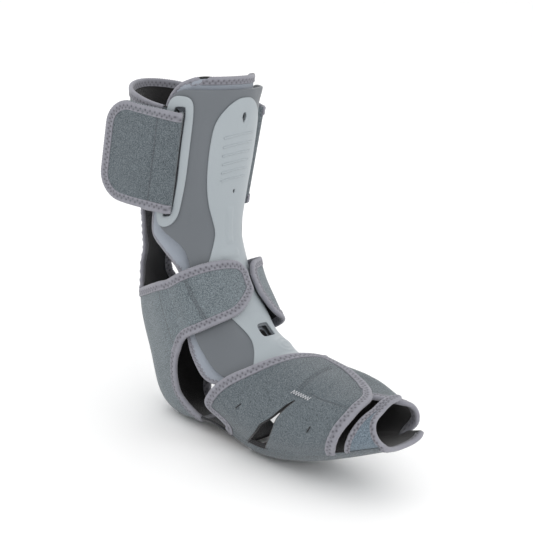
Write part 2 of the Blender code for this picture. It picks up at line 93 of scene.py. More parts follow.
CAMERA_DISTANCE = 1.4
camera_data = bpy.data.cameras.new("camera")
camera_data.lens, camera_data.sensor_width, camera_data.shift_x = 110.6, 36.0, 0.0403
camera = bpy.data.objects.new("camera", camera_data)
scene.collection.objects.link(camera)
scene.camera = camera
backwards = Vector((-0.7544, -0.5949, 0.2774)).normalized()
sideways = Vector((0.0, 0.1678, 0.9858)).cross(backwards).normalized()
turned = Matrix((sideways, backwards.cross(sideways), backwards)).transposed().to_4x4()
camera.matrix_world = Matrix.Translation(LOOK_AT + backwards * CAMERA_DISTANCE) @ turned

# ---------------------------------------------------------------- the shell
# One stiff moulded shell runs from the shin over the instep to the toes: a dark soft-touch overmould with
# rounded rims, a slot in each wing for the calf strap, one thin raised line on each wing and an instep window.

MM = 0.001

# Sections of the leg form: front y, front z, back y, back z, half width, squareness in front and behind.
LEG_SECTIONS = np.array(
    [
        (94.5, 307, 197.5, 289, 44, 2.1, 2.1),
        (93, 275, 191, 258.5, 44, 2.1, 2.1),
        (93.5, 238.5, 182, 219, 43, 2.1, 2.1),
        (94, 205.5, 171, 179.5, 39, 2.1, 2.1),
        (91.5, 177.5, 165, 145, 35, 2.1, 2.1),
        (85, 154, 164.5, 111, 34, 2.1, 2.1),
        (70.5, 129, 158.5, 78.5, 34, 2.1, 2.1),
        (53.5, 109.5, 141, 45.5, 35, 2.1, 2.2),
        (35, 91.5, 123, 13, 35, 2.1, 2.35),
        (18.5, 83.5, 97.5, 2.5, 35, 2.1, 2.5),
        (1, 77.5, 51.5, 8, 37, 2.1, 2.8),
        (-21.5, 74.5, -3, 2.5, 41, 2.2, 3),
        (-51.5, 74.5, -48, 13.5, 43, 2.3, 3),
        (-81, 73, -84, 29.5, 40, 2.4, 2.8),
        (-111, 70.5, -129.5, 53, 28, 2.3, 2.6),
    ]
)


def curve_through(points, where):
    """Catmull-Rom curve through the points, read at 0 (first) to len(points) - 1 (last)."""
    points = np.asarray(points, float)
    last = len(points) - 1
    where = np.clip(np.asarray(where, float), 0.0, last - 1e-9)
    index = where.astype(int)
    part = (where - index)[..., None]
    here, there = points[index], points[index + 1]
    before = np.where((index == 0)[..., None], 2 * here - there, points[np.maximum(index - 1, 0)])
    after = np.where((index == last - 1)[..., None], 2 * there - here, points[np.minimum(index + 2, last)])
    return 0.5 * (
        2 * here
        + (there - before) * part
        + (2 * before - 5 * here + 4 * there - after) * part**2
        + (3 * here - before - 3 * there + after) * part**3
    )


def leg_point(station, angle):
    section = curve_through(LEG_SECTIONS, station)
    turn = np.radians(angle)
    forward, across = np.cos(turn), np.sin(turn)
    front, back = section[..., 0:2], section[..., 2:4]
    power = 2 / np.where(forward >= 0, section[..., 5], section[..., 6])
    reach = (front - back) / 2 * (np.sign(forward) * np.abs(forward) ** power)[..., None]
    wide = section[..., 4] * np.sign(across) * np.abs(across) ** power
    middle = (front + back) / 2 + reach
    return np.stack([wide, middle[..., 0], middle[..., 1]], -1)


def unit(vectors):
    return vectors / np.maximum(np.linalg.norm(vectors, axis=-1, keepdims=True), 1e-12)


def leg_normal(station, angle):
    step, swing = 0.12, 2.0
    last = len(LEG_SECTIONS) - 1
    ahead = leg_point(np.minimum(station + step, last), angle)
    behind = leg_point(np.maximum(station - step, 0), angle)
    return unit(np.cross(ahead - behind, leg_point(station, angle + swing) - leg_point(station, angle - swing)))


def side_angle(angle):
    return np.abs((np.asarray(angle, float) + 180) % 360 - 180)


def ease(value, start, end):
    part = np.clip((np.asarray(value, float) - start) / (end - start), 0, 1)
    return part * part * (3 - 2 * part)


def laid_on_leg(lift, floor=None):
    """The surface of a piece: takes pattern points (station, angle) and rises in mm, gives points in mm."""

    def place(pattern, rise=0.0):
        station, angle = pattern[..., 0], pattern[..., 1]
        height = (lift(station, angle) if callable(lift) else lift) + np.asarray(rise, float)
        points = leg_point(station, angle) + height[..., None] * leg_normal(station, angle)
        if floor is not None:
            # the underside is pressed flat where the piece stands on the floor
            points[..., 2] = np.maximum(points[..., 2], floor - np.asarray(rise, float))
        return points

    return place


def shell_lift(station, angle):
    """Clear of the liner on the leg, down onto the foot under the flaps; the far top corner flares out."""
    lip = 3.0 * ease(np.asarray(angle, float), 18, 42) * (1 - ease(station, 0.35, 1.0))
    return 6.1 - 2.0 * ease(station, 9.0, 9.8) - 2.1 * ease(station, 9.9, 10.8) + lip


def evenly(run, step, place, closed=False):
    """The pattern run with a point every step mm, measured on the laid surface."""
    if closed:
        run = np.concatenate([run, run[:1]])
    marks = np.linspace(0, len(run) - 1, 12 * len(run))
    fine = np.stack([np.interp(marks, np.arange(len(run)), run[:, k]) for k in (0, 1)], 1)
    laid = place(fine)
    length = np.concatenate([[0], np.cumsum(np.linalg.norm(np.diff(laid, axis=0), axis=1))])
    count = max(4, int(round(length[-1] / step)))
    wanted = np.linspace(0, length[-1], count + 1)
    even = np.stack([np.interp(wanted, length, fine[:, k]) for k in (0, 1)], 1)
    return even[:-1] if closed else even


def rounded(run, reach, closed=False):
    """The evenly spaced run with its corners drawn in, over reach points each way; an open run keeps its ends."""
    if reach < 1:
        return run
    if closed:
        padded_run = np.concatenate([run[-reach:], run, run[:reach]])
    else:
        padded_run = np.concatenate([2 * run[:1] - run[reach:0:-1], run, 2 * run[-1:] - run[-2 : -reach - 2 : -1]])
    weights = np.hanning(2 * reach + 3)[1:-1]
    weights /= weights.sum()
    return np.stack([np.convolve(padded_run[:, k], weights, mode="valid") for k in (0, 1)], 1)


def edges_of(left, right, count=40):
    """The outline between a left and a right edge as one run: up the right edge, over the end, down the left."""
    marks = np.linspace(0, 1, count)
    a = curve_through(left, marks * (len(left) - 1))
    b = curve_through(right, marks * (len(right) - 1))
    across = np.linspace(0, 1, 14)[1:-1, None]
    over = b[-1] + (a[-1] - b[-1]) * across
    back = a[0] + (b[0] - a[0]) * across
    return b, over, a[::-1], back


def inside(points, outline):
    """Which points lie inside the closed outline."""
    x, y = points[:, 0, None], points[:, 1, None]
    a, b = outline, np.roll(outline, -1, axis=0)
    spans = (a[None, :, 1] > y) != (b[None, :, 1] > y)
    with np.errstate(divide="ignore", invalid="ignore"):
        crossing = (b[:, 0] - a[:, 0]) * (y - a[:, 1]) / (b[:, 1] - a[:, 1]) + a[:, 0]
    return (spans & (x < crossing)).sum(1) % 2 == 1


PATTERN_SCALE = np.array([24.0, 0.72])  # a pattern's stations and angles as rough millimetres


def triangles_in(outline, holes, step, scale):
    """Points and triangles of the cloth inside an outline and outside its holes, all in pattern coordinates."""
    rings = [outline * scale] + [hole * scale for hole in holes]
    low, high = rings[0].min(0), rings[0].max(0)
    xs, ys = np.arange(low[0], high[0], step), np.arange(low[1], high[1], step)
    grid = np.stack(np.meshgrid(xs, ys, indexing="ij"), -1)
    grid[1::2, :, 1] += step / 2
    grid = grid.reshape(-1, 2)
    grid = grid[inside(grid, rings[0])]
    for ring in rings[1:]:
        grid = grid[~inside(grid, ring)]
    for ring in rings:
        keep = np.ones(len(grid), bool)
        for chunk in range(0, len(grid), 2000):
            part = grid[chunk : chunk + 2000]
            gap = ((part[:, None, :] - ring[None]) ** 2).sum(-1).min(1)
            keep[chunk : chunk + 2000] = gap > (0.55 * step) ** 2
        grid = grid[keep]
    points, edges, start = [], [], 0
    for ring in rings:
        points += ring.tolist()
        edges += [(start + i, start + (i + 1) % len(ring)) for i in range(len(ring))]
        start += len(ring)
    points += grid.tolist()
    out, _, faces, source, _, _ = delaunay_2d_cdt([Vector(p) for p in points], edges, [], 0, 1e-6)
    where = np.array([tuple(p) for p in out])
    triangles = np.array([tuple(f) for f in faces if len(f) == 3])
    middle = where[triangles].mean(1)
    keep = inside(middle, rings[0])
    for ring in rings[1:]:
        keep &= ~inside(middle, ring)
    triangles = triangles[keep]
    a, b, c = (where[triangles[:, k]] for k in range(3))
    turn = (b[:, 0] - a[:, 0]) * (c[:, 1] - a[:, 1]) - (b[:, 1] - a[:, 1]) * (c[:, 0] - a[:, 0])
    triangles[turn < 0] = triangles[turn < 0][:, ::-1]
    return where / scale, triangles


def piece_object(name, points, faces, materials, face_material=None):
    mesh = bpy.data.meshes.new(name)
    mesh.from_pydata((np.asarray(points) * MM).tolist(), [], [tuple(int(i) for i in f) for f in faces])
    for material in materials:
        mesh.materials.append(material)
    if face_material is not None:
        mesh.polygons.foreach_set("material_index", np.asarray(face_material, np.int32))
    mesh.shade_smooth()
    made = bpy.data.objects.new(name, mesh)
    scene.collection.objects.link(made)
    return made


def cut_piece(
    name, outline, place, thickness, materials, holes=(), step=2.2, round_rim=4, bulge=None, scale=PATTERN_SCALE
):
    """A piece cut to its outline and laid on the form: an outer and an inner face, and a rounded rim between."""
    pattern, triangles = triangles_in(outline, holes, step, scale)
    count = len(pattern)
    rise = np.full(count, float(thickness)) if bulge is None else thickness + bulge(pattern)
    outer, inner = place(pattern, rise), place(pattern, np.zeros(count))
    a, b, c = (outer[triangles[:, k]] for k in range(3))
    away = np.cross(b - a, c - a)
    if (away * (outer - inner)[triangles[:, 0]]).sum() < 0:
        triangles = triangles[:, ::-1]
    ends = np.concatenate([triangles[:, [0, 1]], triangles[:, [1, 2]], triangles[:, [2, 0]]])
    keys = {tuple(e) for e in ends.tolist()}
    rim = [(i, j) for i, j in keys if (j, i) not in keys]
    points, faces = [outer, inner], [triangles, triangles[:, ::-1] + count]
    kinds = [0] * len(triangles) + [1] * len(triangles)
    follows = {i: j for i, j in rim}
    loops, left = [], set(follows)
    while left:
        loop = [left.pop()]
        while follows[loop[-1]] != loop[0]:
            loop.append(follows[loop[-1]])
            left.discard(loop[-1])
        loops.append(np.array(loop))
    made = 2 * count
    for loop in loops:
        top, low = outer[loop], inner[loop]
        along = unit(np.roll(top, -1, 0) - np.roll(top, 1, 0))
        out = unit(np.cross(along, unit(top - low)))
        rings = [loop]
        half = np.linalg.norm(top - low, axis=1)[:, None] / 2
        for k in range(1, round_rim):
            swing = np.pi * k / round_rim
            points.append((top + low) / 2 + unit(top - low) * half * np.cos(swing) + out * half * np.sin(swing))
            rings.append(np.arange(made, made + len(loop)))
            made += len(loop)
        rings.append(loop + count)
        for high_ring, low_ring in zip(rings[:-1], rings[1:]):
            quads = np.stack([high_ring, low_ring, np.roll(low_ring, -1), np.roll(high_ring, -1)], 1)
            faces.append(quads)
            kinds += [1 if len(materials) > 1 else 0] * len(quads)
    all_faces = [tuple(f) for group in faces for f in group.tolist()]
    if len(materials) == 1:
        kinds = [0] * len(all_faces)
    return piece_object(name, np.concatenate(points), all_faces, materials, kinds)


class Shade:
    """A socket of a shader tree with arithmetic. Maths on it adds Math nodes."""

    def __init__(self, tree, socket):
        self.tree, self.socket = tree, socket

    def maths(self, operation, first, second):
        return added(self.tree, "ShaderNodeMath", {"operation": operation}, {0: first, 1: second})

    def __add__(self, other):
        return self.maths("ADD", self, other)

    def __radd__(self, other):
        return self.maths("ADD", other, self)

    def __sub__(self, other):
        return self.maths("SUBTRACT", self, other)

    def __rsub__(self, other):
        return self.maths("SUBTRACT", other, self)

    def __mul__(self, other):
        return self.maths("MULTIPLY", self, other)

    def __rmul__(self, other):
        return self.maths("MULTIPLY", other, self)


def added(tree, kind, settings=None, sockets=None, out=0):
    """A new node of a shader tree: its settings first, then the values or links of its sockets."""
    made = tree.nodes.new(kind)
    for key, value in (settings or {}).items():
        setattr(made, key, value)
    for key, value in (sockets or {}).items():
        if isinstance(value, Shade):
            tree.links.new(value.socket, made.inputs[key])
        else:
            made.inputs[key].default_value = value
    return Shade(tree, made.outputs[out])


class Finish:
    """A material under construction: node() adds any node, surface() links the shader."""

    def __init__(self, name, **fixed):
        self.material = bpy.data.materials.new(name)
        self.material.use_nodes = True
        self.tree = self.material.node_tree
        self.shader = self.tree.nodes["Principled BSDF"]
        for socket, value in fixed.items():
            self.shader.inputs[socket.replace("_", " ")].default_value = value

    def node(self, kind, settings=None, sockets=None, out=0):
        return added(self.tree, kind, settings, sockets, out)

    def place(self):
        return self.node("ShaderNodeTexCoord", out="Object")

    def noise(self, scale, detail=3.0, roughness=0.55):
        sockets = {"Vector": self.place(), "Scale": scale, "Detail": detail, "Roughness": roughness}
        return self.node("ShaderNodeTexNoise", None, sockets)

    def mix(self, factor, first, second):
        first, second = (tone if isinstance(tone, Shade) else (*tone, 1) for tone in (first, second))
        return self.node("ShaderNodeMix", {"data_type": "RGBA"}, {0: factor, 6: first, 7: second}, out=2)

    def bump(self, height, distance):
        return self.node("ShaderNodeBump", None, {"Height": height, "Distance": distance})

    def surface(self, **sockets):
        for socket, value in sockets.items():
            self.tree.links.new(value.socket, self.shader.inputs[socket.replace("_", " ")])
        return self.material


def moulded_plastic(name, colour, light, roughness, grain):
    """Satin moulding: a fine spark-eroded grain, slight flow variation in the colour and faint handling marks."""
    finish = Finish(name, Specular_IOR_Level=0.45)
    flow = finish.noise(14.0, 2.0)
    grit = finish.noise(2600.0, 2.0, 0.6)
    marks = finish.noise(55.0, 4.0, 0.7)
    return finish.surface(
        Base_Color=finish.mix(flow * 0.55 + grit * 0.25, colour, light),
        Roughness=roughness + 0.14 * marks + 0.06 * grit,
        Normal=finish.bump(grit, grain),
    )


overmould = moulded_plastic("soft_touch_overmould", (0.108, 0.120, 0.134), (0.148, 0.162, 0.178), 0.36, 0.00006)

SHELL_HALF = [
    (0.42, 60), (0.6, 69), (1.6, 77), (2.5, 80), (3.2, 85), (3.7, 85), (4.15, 69), (4.6, 55), (5.4, 50),
    (6.3, 56), (7.2, 66), (7.9, 64), (9.0, 66), (9.7, 65), (10.3, 57), (10.8, 42), (11.1, 24),
]


def both_sides(half):
    return [(s, -a) for s, a in half], [(s, a) for s, a in half]


def closed_outline(left, right, place, reach, step=1.4):
    run = np.concatenate(edges_of(left, right))
    return rounded(evenly(run, step, place, closed=True), reach, closed=True)


def oval(station, angle, tall, wide, place, square=2.0, step=0.9, point=0.0):
    """A hole or pad outline round a place on the form, tall along the leg and wide round it, in mm."""
    centre = np.array([[station, angle]], float)
    move_s = np.linalg.norm(place(centre + [[0.05, 0]]) - place(centre - [[0.05, 0]])) / 0.1
    move_a = np.linalg.norm(place(centre + [[0, 1]]) - place(centre - [[0, 1]])) / 2
    swing = np.radians(np.arange(0, 360, 6))
    up, out = np.cos(swing), np.sin(swing)
    up, out = (np.sign(v) * np.abs(v) ** (2 / square) for v in (up, out))
    out = out * (1 - point * np.clip(up, 0, 1))
    ring = np.stack([station + up * tall / 2 / move_s, angle + out * wide / 2 / move_a], 1)
    return evenly(ring, step, place, closed=True)


shell_surface = laid_on_leg(shell_lift)
shell_left, shell_right = both_sides(SHELL_HALF)
shell_outline = closed_outline(shell_left, shell_right, shell_surface, 7)
SLOT_REAR = [(0.8, -62), (0.88, -67), (1.6, -71), (2.5, -74.5), (3.38, -79.5), (3.48, -77)]
SLOT_FRONT = [(0.8, -59), (0.88, -55.5), (1.6, -57), (2.5, -60), (3.38, -67.5), (3.48, -71)]


def flipped(run, sign):
    return [(s, sign * a) for s, a in run]


slots = {
    side: closed_outline(flipped(SLOT_REAR, sign), flipped(SLOT_FRONT, sign), shell_surface, 2, 1.2)
    for side, sign in (("near", 1), ("far", -1))
}
WINDOW = dict(station=8.07, angle=0.0, tall=12.5, wide=15.5, square=4.5)
shell_window = oval(place=shell_surface, **WINDOW)
teardrop = oval(1.1, 0, 10.5, 6.4, shell_surface, 2.2, point=0.45)
rivet_hole = oval(2.95, 0, 5.4, 4.0, shell_surface)


SHELL_WALL = 2.4
LINE_HEIGHT, LINE_HALF_WIDTH = 0.7, 0.55


def wing_line(pattern):
    """One thin raised line down each wing, in mm."""
    line = np.interp(pattern[:, 0], [1.02, 2.07, 3.95], [-40, -43, -50])
    fade = ease(pattern[:, 0], 0.98, 1.1) * (1 - ease(pattern[:, 0], 3.85, 3.97))
    off = np.minimum(np.abs(pattern[:, 1] - line), np.abs(pattern[:, 1] + line))
    return LINE_HEIGHT * fade * np.exp(-((off / LINE_HALF_WIDTH) ** 2))


shell = cut_piece(
    "shell", shell_outline, shell_surface, SHELL_WALL, [overmould],
    holes=[slots["near"], slots["far"], shell_window, teardrop, rivet_hole], step=1.6, bulge=wing_line,
)
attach(shell, "splint")
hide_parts("shell_overmould")

# ---------------------------------------------------------------- the core panel
# A lighter, harder plastic spine is moulded over the shell's middle: six raised ribs across the shin, a plain
# raised bar below them, a lip above the instep and rounded pads over it. Its edge is rounded.


def path_tree(tree_name, material, sizes, kinds, wires):
    """A Geometry Nodes tree that takes paths and named sizes, and gives one plain painted mesh.

    kinds holds each node's type, settings and socket values; a wire reads "node.Socket > node.Socket".
    """
    tree = bpy.data.node_groups.new(tree_name, "GeometryNodeTree")
    socket = tree.interface.new_socket
    socket("Geometry", in_out="INPUT", socket_type="NodeSocketGeometry")
    for size in sizes:
        socket(size, in_out="INPUT", socket_type="NodeSocketFloat")
    socket("Geometry", in_out="OUTPUT", socket_type="NodeSocketGeometry")
    kinds = {
        "given": ("NodeGroupInput", {}, {}),
        "curve": ("GeometryNodeMeshToCurve", {}, {}),
        **kinds,
        "whole": ("GeometryNodeRealizeInstances", {}, {}),
        "paint": ("GeometryNodeSetMaterial", {}, {"Material": material}),
        "result": ("NodeGroupOutput", {}, {}),
    }
    nodes = {}
    for key, (kind, settings, values) in kinds.items():
        nodes[key] = tree.nodes.new(kind)
        for setting, value in settings.items():
            setattr(nodes[key], setting, value)
        for name, value in values.items():
            nodes[key].inputs[name].default_value = value
    ends = ["given.Geometry > curve.Mesh", "whole.Geometry > paint.Geometry", "paint.Geometry > result.Geometry"]
    for wire in wires + ends:
        (start, leaves), (end, enters) = (half.split(".") for half in wire.split(" > "))
        tree.links.new(nodes[start].outputs[leaves], nodes[end].inputs[enters])
    return tree


def beads_along(tree_name, material):
    """A rounded bead along each path, from end to end, with a named radius."""
    kinds = {
        "tube": ("GeometryNodeCurveToMesh", {}, {"Fill Caps": True}),
        "ring": ("GeometryNodeCurvePrimitiveCircle", {}, {"Resolution": 8}),
    }
    wires = [
        "curve.Curve > tube.Curve", "given.Bead Radius > ring.Radius", "ring.Curve > tube.Profile Curve",
        "tube.Mesh > whole.Geometry",
    ]
    return path_tree(tree_name, material, ["Bead Radius"], kinds, wires)


def grown(name, tree, runs, **sizes):
    """The plain mesh that a Geometry Nodes tree makes on runs of points in mm."""
    points, edges, start = [], [], 0
    for run in runs:
        points += (np.asarray(run) * MM).tolist()
        edges += [(start + i, start + i + 1) for i in range(len(run) - 1)]
        start += len(run)
    mesh = bpy.data.meshes.new(name + "_paths")
    mesh.from_pydata(points, edges, [])
    guide = bpy.data.objects.new(name + "_paths", mesh)
    scene.collection.objects.link(guide)
    modifier = guide.modifiers.new("Grow", "NODES")
    modifier.node_group = tree
    sockets = {item.name: item.identifier for item in tree.interface.items_tree if item.in_out == "INPUT"}
    for size, value in sizes.items():
        modifier[sockets[size.replace("_", " ")]] = float(value)
    bpy.context.view_layer.update()
    result = bpy.data.meshes.new_from_object(guide.evaluated_get(bpy.context.evaluated_depsgraph_get()))
    bpy.data.objects.remove(guide)
    result.name = name
    result.shade_smooth()
    made = bpy.data.objects.new(name, result)
    scene.collection.objects.link(made)
    return made


core_plastic = moulded_plastic("core_plastic", (0.312, 0.348, 0.372), (0.370, 0.408, 0.430), 0.30, 0.00004)

PANEL_HALF = [
    (0.62, 6), (0.72, 13), (0.85, 19), (1.17, 28), (1.55, 31), (2.25, 32), (2.8, 31), (3.35, 28), (4.1, 21),
    (4.55, 22), (5.1, 28), (5.5, 35), (6.1, 37), (6.7, 33), (7.24, 27), (7.87, 20), (8.5, 22), (9.0, 28),
    (9.4, 35), (9.84, 45), (10.25, 43), (10.6, 30),
]
panel_surface = laid_on_leg(lambda station, angle: shell_lift(station, angle) + 2.3)
panel_left, panel_right = both_sides(PANEL_HALF)
panel_outline = closed_outline(panel_left, panel_right, panel_surface, 4)
panel_window = oval(place=panel_surface, **{**WINDOW, "tall": 14.0, "wide": 17.0})


def soft_box(value, start, end, edge):
    """1 between start and end and 0 outside, with a soft edge."""
    return ease(value, start - edge, start + edge) * (1 - ease(value, end - edge, end + edge))


def panel_relief(pattern):
    """The panel's moulded relief in mm: the bar, the lip, the small pad and the rings round its openings."""
    station, angle = pattern[:, 0], pattern[:, 1]
    bar = 0.9 * soft_box(station, 3.45, 4.75, 0.07) * soft_box(angle, -8, 0, 1.6)
    lip = 0.9 * soft_box(station, 5.02, 5.26, 0.09) * soft_box(angle, -17, 6, 2.5)
    pad = 0.5 * soft_box(station, 7.26, 7.5, 0.035) * soft_box(angle, -12, 5, 1.6)
    curl = np.hypot((station - 9.2) / 0.42, (angle - 9) / 12.5)
    ring = 0.5 * np.exp(-(((curl - 0.95) / 0.13) ** 2)) + 0.45 * np.exp(-(((curl - 0.45) / 0.13) ** 2))
    drop = np.hypot((station - 1.1) / 0.33, angle / 6.2)
    hollow = -0.35 * np.exp(-(((drop - 0.72) / 0.16) ** 2))
    middle = 0.5 * np.exp(-((angle / 26) ** 2)) * soft_box(station, 0.9, 4.0, 0.3)
    return bar + lip + pad + ring + hollow + middle


PANEL_WALL = 1.5
panel = cut_piece(
    "core_panel_moulding", panel_outline, panel_surface, PANEL_WALL, [core_plastic],
    holes=[panel_window, teardrop, rivet_hole], step=1.25, bulge=panel_relief,
)
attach(panel, "splint")
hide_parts("core_panel")

RIBS, RIB_POINTS, RIB_PITCH, RIB_HEIGHT, RIB_RADIUS = 6, 26, 0.215, 1.75, 0.95
rib_runs = []
for rib in range(RIBS):
    rib_angle = np.linspace(-20 + 0.4 * rib, 17 - 0.9 * rib, RIB_POINTS)
    rib_station = 1.52 + RIB_PITCH * rib - 0.0022 * (rib_angle + 20) + 0.0001 * (rib_angle + 1) ** 2
    rib_runs.append(panel_surface(np.stack([rib_station, rib_angle], 1), np.full(RIB_POINTS, RIB_HEIGHT)))
ribs = grown("shin_ribs", beads_along("Ribs", core_plastic), rib_runs, Bead_Radius=RIB_RADIUS * MM)
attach(ribs, "splint")

# ---------------------------------------------------------------- the slot frames
# A ring of the light plastic stiffens each calf slot. It is a rounded loop, thicker than the panel, snapped over
# the shell round the slot's mouth, and the calf strap turns back round its rear bar.

FRAME_REAR = [(0.58, -66), (0.8, -71), (1.62, -75.5), (2.52, -79), (3.3, -84), (3.58, -84.5), (3.72, -81)]
FRAME_FRONT = [(0.58, -60), (0.72, -51.5), (1.62, -51.5), (2.5, -54.5), (3.3, -61), (3.58, -66), (3.72, -73)]
FRAME_HEIGHT, FRAME_WALL = 8.6, 2.3
frame_surface = laid_on_leg(FRAME_HEIGHT)
for side, sign in (("near", 1), ("far", -1)):
    ring_outline = closed_outline(flipped(FRAME_REAR, sign), flipped(FRAME_FRONT, sign), frame_surface, 4)
    mouth = closed_outline(flipped(SLOT_REAR, sign), flipped(SLOT_FRONT, sign), frame_surface, 2, 1.2)
    ring_piece = cut_piece(
        "slot_ring_" + side, ring_outline, frame_surface, FRAME_WALL, [core_plastic],
        holes=[mouth], step=1.5, round_rim=6,
    )
    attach(ring_piece, "splint")
    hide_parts("slot_frame_" + side)

# ---------------------------------------------------------------- edge binding
# Every cloth edge is finished with folded twill tape, sewn through both faces with a zigzag that pulls small
# dimples into it. The tape is slightly scalloped, mauve grey, with thread a shade lighter.
# Painted shade darkens the tape in its dimples and along its outer edge.


def woven_tape(name, colour, light, dark):
    """Folded tape: fine cross ribs of the weave, worn lighter in places, painted shade in its stitch pits and at its
    outer edge.
    """
    finish = Finish(name, Sheen_Weight=0.25, Sheen_Roughness=0.5, Specular_IOR_Level=0.25)
    # the tape's painted shade, darkest in the stitch pits and along its outer edge
    pit = finish.node("ShaderNodeAttribute", {"attribute_name": "pit"}, out=2)
    weave = finish.noise(2300.0, 2.0, 0.6)
    worn = finish.noise(160.0, 3.0, 0.6)
    body = finish.mix(worn * 0.6 + weave * 0.5, colour, light)
    return finish.surface(
        Base_Color=finish.mix(pit * 0.85, body, dark),
        Roughness=0.80 + 0.12 * weave,
        Normal=finish.bump(weave, 0.00022),
    )


# the last colour is the painted shade in the stitch pits and along the tape's outer edge
binding_tape = woven_tape("binding_tape", (0.185, 0.183, 0.212), (0.310, 0.312, 0.350), (0.030, 0.030, 0.038))
DIMPLE_PITCH = 4.6


def stitch_pits(travel, reach, width):
    """How deep the sewing pulls the tape in, 0 to 1, and so its painted shade: pits in two staggered rows and a faint
    zigzag between.
    """
    upper = (travel / DIMPLE_PITCH + 0.5) % 1 - 0.5
    lower = (travel / DIMPLE_PITCH) % 1 - 0.5
    zigzag = 1 - 2 * np.abs(2 * ((travel / DIMPLE_PITCH) % 1) - 1)
    pits = 0
    for along, row in ((upper, 0.68), (lower, 0.38)):
        off = np.hypot(along * DIMPLE_PITCH, (reach - width * row) * 0.9)
        pits = np.maximum(pits, np.exp(-((off / 0.85) ** 2)))
    thread = 0.35 * np.exp(-((((reach - width * 0.53) - zigzag * width * 0.15) / 0.5) ** 2))
    return np.maximum(pits, thread)


def binding(name, run, place, thickness, outline, closed=False, width=6.4, over=1.5, step=0.7, gather=0.0):
    """Folded tape over an edge of a laid piece, along a pattern run, turned in towards the piece's outline."""
    run = rounded(evenly(run, step, place, closed), 3, closed)
    count = len(run)
    if closed:
        ahead = np.roll(run, -1, 0) - np.roll(run, 1, 0)
    else:
        ahead = np.gradient(run, axis=0)
    tiny = np.array([0.02, 0.6])
    here = place(run)
    move_s = (place(run + [tiny[0], 0]) - place(run - [tiny[0], 0])) / (2 * tiny[0])
    move_a = (place(run + [0, tiny[1]]) - place(run - [0, tiny[1]])) / (2 * tiny[1])
    along = unit(ahead[:, :1] * move_s + ahead[:, 1:] * move_a)
    up = unit(place(run, np.full(count, 1.0)) - place(run, np.full(count, -1.0)))
    inward = unit(np.cross(up, along))
    ss, sa, aa = ((u * v).sum(1) for u, v in ((move_s, move_s), (move_s, move_a), (move_a, move_a)))
    si, ai = (move_s * inward).sum(1), (move_a * inward).sum(1)
    scale = ss * aa - sa * sa
    to_inside = np.stack([(aa * si - sa * ai) / scale, (ss * ai - sa * si) / scale], 1)
    if inside(run + 3 * to_inside, outline).mean() < 0.5:
        to_inside, inward = -to_inside, -inward
    travel = np.arange(count) * step
    wave = 1 + gather * np.sin(travel * 2 * np.pi / 7.0 + 1.3 * np.sin(travel / 19.0))
    scallop = 0.18 * np.cos(2 * np.pi * travel / (DIMPLE_PITCH / 2))
    columns, pits = [], []
    outer_reach = np.linspace(width, 0.4, 11)
    for reach in outer_reach:
        p = run + to_inside * reach
        pit = stitch_pits(travel, reach, width)
        edge_fall = 0.75 * np.exp(-((width - reach) / 0.55) ** 2)
        lift = thickness + 1.0 * wave - 0.85 * pit - edge_fall
        columns.append(place(p, lift))
        # the outermost column gets extra painted shade where the tape's edge meets the cloth
        pits.append(pit + (reach == outer_reach[0]) * 0.45)
    half = (thickness + 1.4) / 2
    middle = place(run, np.full(count, thickness / 2 + 0.2))
    for swing in np.radians((70, 35, 0, -35, -70)):
        columns.append(
            middle + up * half * np.sin(swing) - inward * ((over + scallop + 0.5 * (wave - 1)) * np.cos(swing))[:, None]
        )
        pits.append(np.zeros(count))
    for reach in np.linspace(0.6, width * 0.9, 7):
        pit = stitch_pits(travel, reach, width)
        columns.append(place(run + to_inside * reach, -0.6 + 0.5 * pit))
        pits.append(pit)
    columns.append(place(run + to_inside * width * 0.92, np.full(count, thickness / 2)))
    pits.append(np.zeros(count))
    points, wide = np.stack(columns, 1), len(columns)
    faces = []
    for i in range(count if closed else count - 1):
        j = (i + 1) % count
        for k in range(wide):
            m = (k + 1) % wide
            faces.append((i * wide + k, j * wide + k, j * wide + m, i * wide + m))
    if not closed:
        faces.append(tuple(range(wide)))
        faces.append(tuple(range((count - 1) * wide, count * wide))[::-1])
    made = piece_object(name, points.reshape(-1, 3), faces, [binding_tape])
    facing_out(made)
    # each point's painted shade, kept on the mesh for the tape's colour
    mark = made.data.attributes.new("pit", "FLOAT", "POINT")
    mark.data.foreach_set("value", np.clip(np.stack(pits, 1), 0, 1).astype(np.float32).ravel())
    return made


def facing_out(made):
    """Turns a closed mesh's faces outwards where it came out inside out."""
    mesh = made.data
    mesh.calc_loop_triangles()
    corners = np.array([mesh.vertices[i].co[:] for t in mesh.loop_triangles for i in t.vertices]).reshape(-1, 3, 3)
    if np.einsum("ij,ij->i", corners[:, 0], np.cross(corners[:, 1], corners[:, 2])).sum() < 0:
        mesh.flip_normals()


def stitch_tree(tree_name, material):
    """Thread stitches along each path, each a stretched bead that lies in line with it."""
    kinds = {
        "beads": ("GeometryNodeCurveToPoints", {"mode": "LENGTH"}, {}),
        "turn": ("FunctionNodeAlignRotationToVector", {"axis": "X"}, {}),
        "ball": ("GeometryNodeMeshIcoSphere", {}, {"Subdivisions": 2, "Radius": 1.0}),
        "shape": ("ShaderNodeCombineXYZ", {}, {}),
        "copy": ("GeometryNodeInstanceOnPoints", {}, {}),
    }
    wires = [
        "curve.Curve > beads.Curve", "given.Pitch > beads.Length", "beads.Tangent > turn.Vector",
        "beads.Points > copy.Points", "ball.Mesh > copy.Instance", "turn.Rotation > copy.Rotation",
        "given.Stitch Length > shape.X", "given.Thread Radius > shape.Y", "given.Thread Radius > shape.Z",
        "shape.Vector > copy.Scale", "copy.Instances > whole.Geometry",
    ]
    return path_tree(tree_name, material, ["Pitch", "Stitch Length", "Thread Radius"], kinds, wires)


def sewing_thread(name, colour):
    finish = Finish(name, Specular_IOR_Level=0.35, Sheen_Weight=0.2)
    twist = finish.noise(3200.0, 2.0)
    light = tuple(1.35 * channel for channel in colour)
    return finish.surface(Base_Color=finish.mix(twist, colour, light), Roughness=0.6 + 0.2 * twist)


